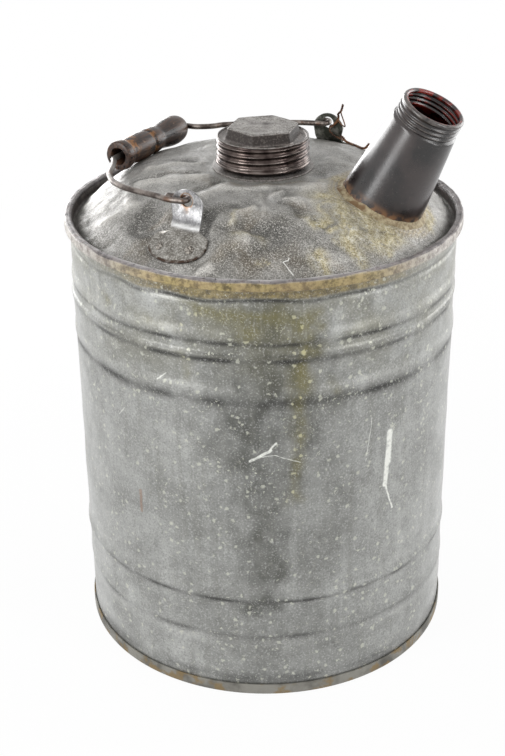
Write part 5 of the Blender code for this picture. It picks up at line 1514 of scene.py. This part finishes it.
def wall_zinc():
    """Dull galvanised wall: clouds, angular flecks and grain, under painted shade and highlight bands, stains
    and scrapes.
    """
    finish = Finish("wall_zinc", metallic=0.5, roughness=0.36, Coat_Weight=0.4, Coat_Roughness=0.3)
    x, y, z = finish.split()
    around = finish.maths("MULTIPLY", finish.maths("ARCTAN2", y, x), WALL_RADIUS)
    wrap = finish.node("ShaderNodeCombineXYZ", {0: around, 1: z, 2: 0.0}).outputs[0]
    clouds = finish.noise(0.035, detail=5, roughness=0.6)
    finish.colour = finish.blend(finish.between(clouds, 0.30, 0.70), (128, 129, 127), (156, 157, 154))
    finish.spangle(0.0055, 0.11, (96, 98, 98), (214, 215, 212))
    patchy = finish.patches(0.014, 0.36, 0.62, 0.35, 1, detail=4)
    finish.layer((200, 201, 198), "pale", patchy)
    # Painted highlight on the beads
    finish.layer((206, 206, 203), "highlight_bands", patchy)
    smudge = finish.patches(0.022, 0.38, 0.58, 0.6, 1, detail=5, roughness=0.65)
    stain = finish.product("stain", smudge)
    moss = finish.product("moss", patchy)
    finish.layer((68, 69, 65), stain)
    finish.layer((106, 100, 58), moss)
    upper = finish.between(z, 0.215, 0.300, 0.05, 0.40)
    finish.layer((124, 120, 88), upper, finish.between(clouds, 0.7, 0.3))
    drips = finish.noise(0.0060, finish.stretched((1, 1, 0.10)), detail=4)
    finish.layer((118, 118, 112), finish.between(drips, 0.52, 0.70, 0, 0.30))
    finish.layer((196, 197, 194), finish.between(drips, 0.46, 0.32, 0, 0.12))
    mottled = finish.patches(0.005, 0.36, 0.62, detail=6, roughness=0.7)
    finish.layer(finish.blend(mottled, (84, 72, 41), (146, 130, 84)), "ochre", 0.85)
    # Painted shade under the beads, above the base and in the tuck
    finish.layer((34, 33, 30), "shade_bands", smudge)
    grain = finish.noise(0.0013, detail=2)
    finish.layer((88, 88, 85), finish.between(grain, 0.52, 0.70, 0, 0.40))
    finish.layer((214, 214, 211), finish.between(grain, 0.46, 0.30, 0, 0.30))
    bent = finish.shifted(finish.shifted(finish.place, 0.006, 0.004), 0.0016, 0.0026)
    off_centre, number = finish.cells(0.0045, bent)
    chosen = finish.maths("GREATER_THAN", number, 0.78)
    large = finish.product(finish.between(off_centre, 0.38, 0.20, 0, 0.55), chosen)
    crowd = finish.patches(0.024, 0.48, 0.60, 0.15, 1)
    shifted = finish.shifted(finish.place, 0.005, 0.004)
    small = finish.product(finish.patches(0.0026, 0.61, 0.69, 0, 0.75, at=shifted, roughness=0.6), crowd)
    flecks = finish.maths("MAXIMUM", large, small)
    finish.layer((206, 207, 192), flecks)
    finish.layer((178, 170, 116), finish.maths("MULTIPLY", finish.product(flecks, "moss"), 1.3, clamp=True))
    worn = finish.shifted(wrap, 0.005, 0.0016)
    for x0, y0, x1, y1, width, strength in WALL_SCRATCHES_PX:
        broken = finish.patches(0.0022, 0.36, 0.50, strength * 0.6, strength)
        line = finish.stroke(worn, wall_place(x0, y0), wall_place(x1, y1), width)
        finish.layer((234, 235, 228), line, broken)
    spot = finish.stroke(worn, *(wall_place(*px) for px in RUST_SPOT_PX), RUST_SPOT_WIDTH)
    finish.layer((142, 104, 76), spot, 0.5)
    # Roughness rises with the stains, the moss and the painted shade bands
    dirt_and_shade = finish.maths("MAXIMUM", finish.maths("MAXIMUM", stain, moss), finish.attribute("shade_bands"))
    roughness = finish.maths("ADD", finish.between(clouds, 0.3, 0.7, 0.40, 0.32), finish.product(dirt_and_shade, 0.30))
    height = finish.maths("ADD", finish.noise(0.0016), finish.product(finish.noise(0.02), 3))
    return finish.finished(roughness, height=height, depth=0.00014)


def dome_zinc():
    """Galvanised dome: pale crinkled zinc, painted shade in hollows and highlight on ridges, speckles, cream
    crust, and the weathered rim.
    """
    finish = Finish("dome_zinc", metallic=0.25, roughness=0.48)
    clouds = finish.noise(0.018, detail=5, roughness=0.6)
    finish.colour = finish.blend(finish.between(clouds, 0.34, 0.66), (128, 126, 121), (170, 168, 164))
    finish.spangle(0.004, 0.12, (90, 90, 88), (220, 219, 215))
    patchy = finish.patches(0.008, 0.36, 0.58, 0.5, 1, detail=5, roughness=0.6)
    # Pale zinc and painted highlights on ridges
    finish.layer((188, 186, 183), "pale", patchy)
    # Soot and painted shade in the creases and hollows
    finish.layer((100, 97, 90), "soot_and_shade", patchy, 0.85)
    # Painted shade in the hollows and painted highlight on the ridges
    finish.layer((84, 83, 80), "hollow", patchy, 0.8)
    finish.layer((210, 207, 201), "ridge", 0.6)
    finish.layer((138, 122, 96), "brown", patchy, 0.6)
    finish.layer((172, 156, 118), "film", 0.8)
    finish.layer((92, 80, 62), "line", 0.5)
    lumps = finish.noise(0.0034, detail=5, roughness=0.7)
    crust = finish.product("crust", finish.patches(0.007, 0.34, 0.50, 0.3, 1, detail=5, roughness=0.65))
    cream = finish.blend(finish.between(lumps, 0.38, 0.54), (174, 160, 116), (222, 211, 172))
    cream = finish.blend(finish.between(lumps, 0.55, 0.63), cream, (250, 246, 228))
    finish.layer(cream, crust, 0.9)
    grain = finish.noise(0.0009, detail=2, roughness=0.6)
    rough = finish.maths("ADD", finish.product("soot_and_shade", 0.25), 0.35)
    finish.layer((52, 49, 45), finish.between(grain, 0.52, 0.63), rough)
    finish.layer((222, 219, 212), finish.between(grain, 0.47, 0.37), rough)
    streaks = finish.noise(0.0050, detail=6, roughness=0.7)
    finish.layer(finish.blend(finish.between(streaks, 0.36, 0.64), (46, 40, 40), (112, 103, 100)), "rim")
    wide = finish.patches(0.020, 0.38, 0.62, detail=4)
    finish.layer(finish.blend(finish.between(streaks, 0.36, 0.62), (132, 124, 120), (184, 180, 175)), "face")
    ochre = finish.blend(finish.between(streaks, 0.36, 0.62), (92, 80, 46), (162, 144, 88))
    finish.layer(finish.blend(finish.product(wide, 0.3), ochre, (160, 136, 108)), "ochre", 0.9)
    specks = finish.patches(0.0026, 0.34, 0.46, detail=4, roughness=0.7)
    # Scraped zinc and painted highlight along the rim's crest
    finish.layer((240, 236, 236), "bright", specks, finish.between(wide, 0, 1, 1, 0.6))
    # Painted shade on the rim's inside
    finish.layer((44, 38, 38), "edge", 0.85)
    flat = finish.stretched((1, 1, 0), finish.shifted(finish.place, 0.004, 0.0006))
    for start, end in zip(DOME_SCRATCH_PX, DOME_SCRATCH_PX[1:]):
        scratch = finish.stroke(flat, dome_place(*start), dome_place(*end), DOME_SCRATCH_WIDTH)
        finish.layer((232, 231, 226), scratch)
    roughness = finish.maths("ADD", finish.between(clouds, 0.3, 0.7, 0.46, 0.34), finish.product(crust, 0.35))
    height = finish.maths("ADD", grain, finish.product(crust, lumps, 4))
    height = finish.maths("ADD", height, finish.product(finish.noise(0.007), 4))
    return finish.finished(roughness, height=height, depth=0.00036)


def base_zinc():
    """The bottom's dull zinc with rust along its fold."""
    finish = Finish("base_zinc", metallic=0.5, roughness=0.5)
    finish.colour = finish.blend(finish.patches(0.020, 0.35, 0.65, detail=4), (90, 88, 82), (138, 136, 129))
    finish.layer((130, 109, 72), finish.patches(0.013, 0.50, 0.62, 0, 0.8, detail=4))
    return finish.finished(height=finish.noise(0.002), depth=0.0002)


def cap_bronze():
    """Dark bronzed steel, glossy on its ridges, dusted pale on what faces up, and with a painted highlight on
    its crests.
    """
    finish = Finish("cap_bronze", metallic=0.95, roughness=0.24)
    finish.colour = finish.blend(finish.patches(0.007, 0.35, 0.65, detail=4), (58, 50, 48), (96, 86, 82))
    # Painted highlight on the thread's crests
    finish.layer((150, 141, 136), "crest", 0.5)
    specks = finish.patches(0.0014, 0.50, 0.62, detail=4, roughness=0.7)
    finish.layer(finish.blend(specks, (42, 35, 32), (84, 78, 73)), "side")
    dusty = finish.blend(finish.patches(0.006, 0.36, 0.64, detail=4), (140, 136, 131), (178, 174, 170))
    dots = finish.noise(0.0012, roughness=0.7)
    dusty = finish.blend(finish.between(dots, 0.53, 0.62, 0, 0.8), dusty, (84, 77, 71))
    dusty = finish.blend(finish.between(dots, 0.47, 0.38, 0, 0.6), dusty, (220, 217, 212))
    finish.layer(dusty, "dust")
    covered = finish.maths("MAXIMUM", finish.attribute("dust"), finish.attribute("side"))
    roughness, metal = finish.between(covered, 0, 1, 0.24, 0.58), finish.between(covered, 0, 1, 0.95, 0.2)
    return finish.finished(roughness, metal, height=finish.noise(0.0014), depth=0.00012)


def spout_black():
    """Brown-black glossy old paint, rusty at the foot, and worn red lead inside the mouth that turns to
    painted shade deeper in.
    """
    finish = Finish("spout_black", roughness=0.30, Coat_Weight=0.45, Coat_Roughness=0.24)
    clouds = finish.noise(0.014, detail=4)
    finish.colour = finish.blend(finish.between(clouds, 0.35, 0.65), (18, 14, 14), (38, 32, 31))
    finish.layer((120, 112, 106), finish.patches(0.0020, 0.62, 0.70, 0, 0.30, detail=4, roughness=0.7))
    drips = finish.stretched((1, 1, 0.5))
    finish.layer((62, 52, 50), finish.patches(0.030, 0.44, 0.60, 0, 0.5, at=drips, detail=4))
    ragged = finish.patches(0.005, 0.38, 0.62, detail=4)
    finish.layer((118, 84, 56), "rust", ragged)
    finish.layer((118, 110, 104), "crest", ragged)
    lead = finish.blend(finish.patches(0.006, 0.42, 0.60, detail=4), (40, 26, 24), (138, 46, 36))
    # Red lead inside, turning to painted shade deeper in
    finish.layer(finish.blend(finish.attribute("deep_shade"), lead, (24, 18, 17)), "inside")
    roughness = finish.maths("ADD", finish.between(clouds, 0.3, 0.7, 0.24, 0.38), finish.product("rust", 0.3))
    return finish.finished(roughness, height=finish.noise(0.0025), depth=0.00008)


def solder_crust():
    """Old solder with a cream and brown crust."""
    finish = Finish("solder_crust", metallic=0.15, roughness=0.62)
    lumps = finish.noise(0.0040, detail=5, roughness=0.65)
    finish.colour = finish.blend(finish.between(lumps, 0.38, 0.62), (128, 112, 84), (176, 164, 134))
    finish.layer((112, 84, 56), finish.patches(0.012, 0.48, 0.62, 0, 0.8))
    return finish.finished(height=lumps, depth=0.0002)


def fitting_zinc():
    """The front ear's zinc: bright on the tab, a painted highlight on the fold and painted shade over it,
    dull on the foot with a rusty outline.
    """
    finish = Finish("fitting_zinc", metallic=0.55, roughness=0.34)
    clouds = finish.noise(0.006, detail=5, roughness=0.6)
    finish.colour = finish.blend(finish.between(clouds, 0.35, 0.65), (112, 108, 101), (152, 149, 143))
    finish.layer(finish.blend(finish.between(clouds, 0.38, 0.62), (116, 116, 117), (166, 166, 167)), "tab")
    grain = finish.noise(0.0012, roughness=0.65)
    rough = finish.between(finish.attribute("tab"), 0, 1, 0.45, 0.25)
    finish.layer((56, 52, 48), finish.between(grain, 0.52, 0.63), rough)
    finish.layer((222, 220, 214), finish.between(grain, 0.47, 0.37), rough)
    # Painted shade over the fold, then a painted highlight on the fold
    finish.layer((96, 95, 98), "shade", 0.5)
    finish.layer((222, 222, 222), "fold", 0.9)
    finish.layer((62, 46, 36), "outline", finish.patches(0.004, 0.40, 0.55, 0.3, 1))
    finish.layer((142, 102, 62), "rim", finish.patches(0.003, 0.3, 0.5, 0.2, 0.9))
    return finish.finished(height=grain, depth=0.00016)


def rear_fitting_zinc():
    """The rear ear, which stands in the weather's way: dark green-black over zinc."""
    finish = Finish("rear_fitting_zinc", metallic=0.35, roughness=0.5)
    finish.colour = finish.blend(finish.patches(0.007, 0.42, 0.66, detail=4), (58, 60, 52), (134, 133, 126))
    return finish.finished(height=finish.noise(0.0016), depth=0.00014)


def rivet_zinc():
    """Dull rivet heads."""
    finish = Finish("rivet_zinc", metallic=0.5, roughness=0.5)
    finish.colour = finish.blend(finish.patches(0.0014, 0.4, 0.6), (78, 73, 67), (160, 154, 146))
    return finish.finished()


def bail_steel():
    """Dark steel wire, greyed where hands wore it beside the grip."""
    finish = Finish("bail_steel", metallic=0.8, roughness=0.38)
    finish.colour = finish.blend(finish.patches(0.006, 0.35, 0.65, detail=4), (74, 66, 62), (132, 124, 118))
    finish.layer((92, 62, 42), finish.patches(0.010, 0.56, 0.66, 0, 0.7))
    finish.layer((138, 136, 132), "worn")
    return finish.finished(height=finish.noise(0.0012), depth=0.00012)


def dark_wood():
    """Dark varnished wood, its grain along the grip, worn to orange in patches by collar and groove."""
    finish = Finish("dark_wood", roughness=0.32)
    grain = finish.noise(0.0022, finish.stretched((1, 0.12, 1)), detail=4)
    finish.colour = finish.blend(finish.between(grain, 0.36, 0.64), (28, 18, 14), (78, 55, 41))
    along = finish.attribute("along")
    collar = finish.product(finish.between(along, 0.060, 0.110), finish.between(along, 0.36, 0.18))
    groove = finish.product(finish.between(along, 0.395, 0.425), finish.between(along, 0.50, 0.46), 0.8)
    worn = finish.maths("MAXIMUM", collar, groove)
    finish.layer((168, 116, 66), worn, finish.patches(0.009, 0.44, 0.56, detail=5), 0.85)
    finish.layer((146, 122, 102), finish.patches(0.0035, 0.62, 0.68, 0, 0.6, detail=4))
    finish.layer((30, 23, 21), finish.patches(0.016, 0.50, 0.62, 0, 0.6, detail=4))
    finish.layer((30, 24, 21), "bore")
    return finish.finished(finish.between(grain, 0.3, 0.7, 0.26, 0.42), height=grain, depth=0.00016)


def rusty_wire():
    """Brown iron binding wire."""
    finish = Finish("rusty_wire", metallic=0.4, roughness=0.6)
    finish.colour = finish.blend(finish.patches(0.004, 0.38, 0.62), (66, 44, 34), (122, 84, 58))
    return finish.finished()


def gasket_cork():
    """Oil-darkened cork."""
    finish = Finish("gasket_cork", roughness=0.85)
    finish.colour = finish.blend(finish.patches(0.0015, 0.4, 0.6), (96, 70, 48), (148, 112, 78))
    return finish.finished(height=finish.noise(0.001), depth=0.0001)


def area_light(name, place, aim, size, power):
    """A soft lamp that faces a point."""
    data = bpy.data.lights.new(name, "AREA")
    data.shape = "RECTANGLE"
    data.size, data.size_y = size
    data.energy = power
    lamp = bpy.data.objects.new(name, data)
    lamp.matrix_world = Matrix.Translation(place) @ faced(Vector(aim) - Vector(place), "-Z", "Y")
    bpy.context.scene.collection.objects.link(lamp)


def seen_directly(tree):
    """One for rays from the camera, from gloss and through glass."""
    paths = new_node(tree, "ShaderNodeLightPath").outputs
    total = paths["Is Camera Ray"]
    for name in ("Is Glossy Ray", "Is Transmission Ray"):
        total = new_node(tree, "ShaderNodeMath", {0: total, 1: paths[name]}, operation="MAXIMUM").outputs[0]
    return total


def make_world():
    """A white surrounding that lights the can at a plain level."""
    world = bpy.data.worlds.new("white_room")
    world.use_nodes = True
    bpy.context.scene.world = world
    tree = world.node_tree
    background = tree.nodes["Background"]
    background.inputs["Color"].default_value = WHITE
    level = new_node(tree, "ShaderNodeMapRange", {0: seen_directly(tree), 3: ROOM_LEVEL, 4: 1.0})
    tree.links.new(level.outputs[0], background.inputs["Strength"])


def make_floor():
    """A floor that keeps a faint shadow of the can, and that is seen as white as the room further out."""
    mesh = bpy.data.meshes.new("floor")
    places = [(x * FLOOR_REACH, y * FLOOR_REACH, 0) for x, y in ((-1, -1), (1, -1), (1, 1), (-1, 1))]
    mesh.from_pydata(places, [], [(0, 1, 2, 3)])
    floor = bpy.data.objects.new("floor", mesh)
    bpy.context.scene.collection.objects.link(floor)
    finish = Finish("white_floor", roughness=1.0, Base_Color=FLOOR_COLOUR, Specular_IOR_Level=0.0)
    distance = finish.vectors("LENGTH", finish.place, output="Value")
    start, full = FLOOR_FADE
    values = {0: distance, 1: start, 2: full, 3: FLOOR_WHITE_SHARE, 4: 1}
    outward = finish.node("ShaderNodeMapRange", values).outputs[0]
    glow = finish.node("ShaderNodeEmission", {"Color": WHITE}).outputs[0]
    share = finish.product(seen_directly(finish.tree), outward)
    mixed = finish.node("ShaderNodeMixShader", {0: share, 1: finish.shader.outputs[0], 2: glow})
    joined(finish.tree, finish.tree.nodes["Material Output"].inputs["Surface"], mixed.outputs[0])
    mesh.materials.append(finish.material)


def make_camera():
    """The camera where the photograph's was, with its angle of view."""
    data = bpy.data.cameras.new("camera")
    data.sensor_fit = "VERTICAL"
    data.sensor_height = SENSOR
    data.lens = PHOTO_FOCUS_PX / PHOTO_HEIGHT * SENSOR
    camera = bpy.data.objects.new("camera", data)
    right, up, forward = (Vector(axis) for axis in camera_axes())
    turn = Matrix((right, up, -forward)).transposed().to_4x4()
    camera.matrix_world = Matrix.Translation(Vector(CAMERA_TARGET) - CAMERA_DISTANCE * forward) @ turn
    bpy.context.scene.collection.objects.link(camera)
    bpy.context.scene.camera = camera


bpy.context.scene.view_settings.view_transform = "Standard"
make_camera()
make_world()
make_floor()
for lamp in LAMPS:
    area_light(*lamp)

dressed(make_wall(), wall_zinc(), "can", "galvanised_body", "body_shell")
dressed(make_base(), base_zinc(), "can", "galvanised_body", "bottom_panel")
dressed(make_dome(), dome_zinc(), "can", "galvanised_dome", "top_dome")
bronze = cap_bronze()
dressed(make_neck(), bronze, "can", "bronzed_steel", "fill_neck")
dressed(make_cap(), bronze, "cap", "bronzed_steel", "fill_cap")
dressed(make_gasket(), gasket_cork(), "gasket", "cork_gasket", "cap_gasket")
dressed(make_spout(), spout_black(), "can", "black_spout", "spout_tube")
dressed(make_solder(), solder_crust(), "can", "old_solder", "spout_solder")
dressed(make_ear("front_ear", -1), fitting_zinc(), "can", "galvanised_fittings", "ear_front")
dressed(make_ear("back_ear", 1), rear_fitting_zinc(), "can", "galvanised_fittings", "ear_rear")
rivets = rivet_zinc()
for end, side in (("front", -1), ("rear", 1)):
    for letter, sign in (("a", -1), ("b", 1)):
        rivet = make_rivet(f"{end}_rivet_{letter}", side, sign)
        dressed(rivet, rivets, "can", "galvanised_fittings", f"rivet_{end}_{letter}")
dressed(make_bail(), bail_steel(), "bail", "bail_steel", "bail_wire")
dressed(make_grip(), dark_wood(), "grip", "dark_wood", "bail_grip")
iron = rusty_wire()
strands = make_tether()
dressed(strands[0], iron, "can", "rusty_wire", "tether_wire")
for strand in strands[1:]:
    dressed(strand, iron, "can", "rusty_wire")
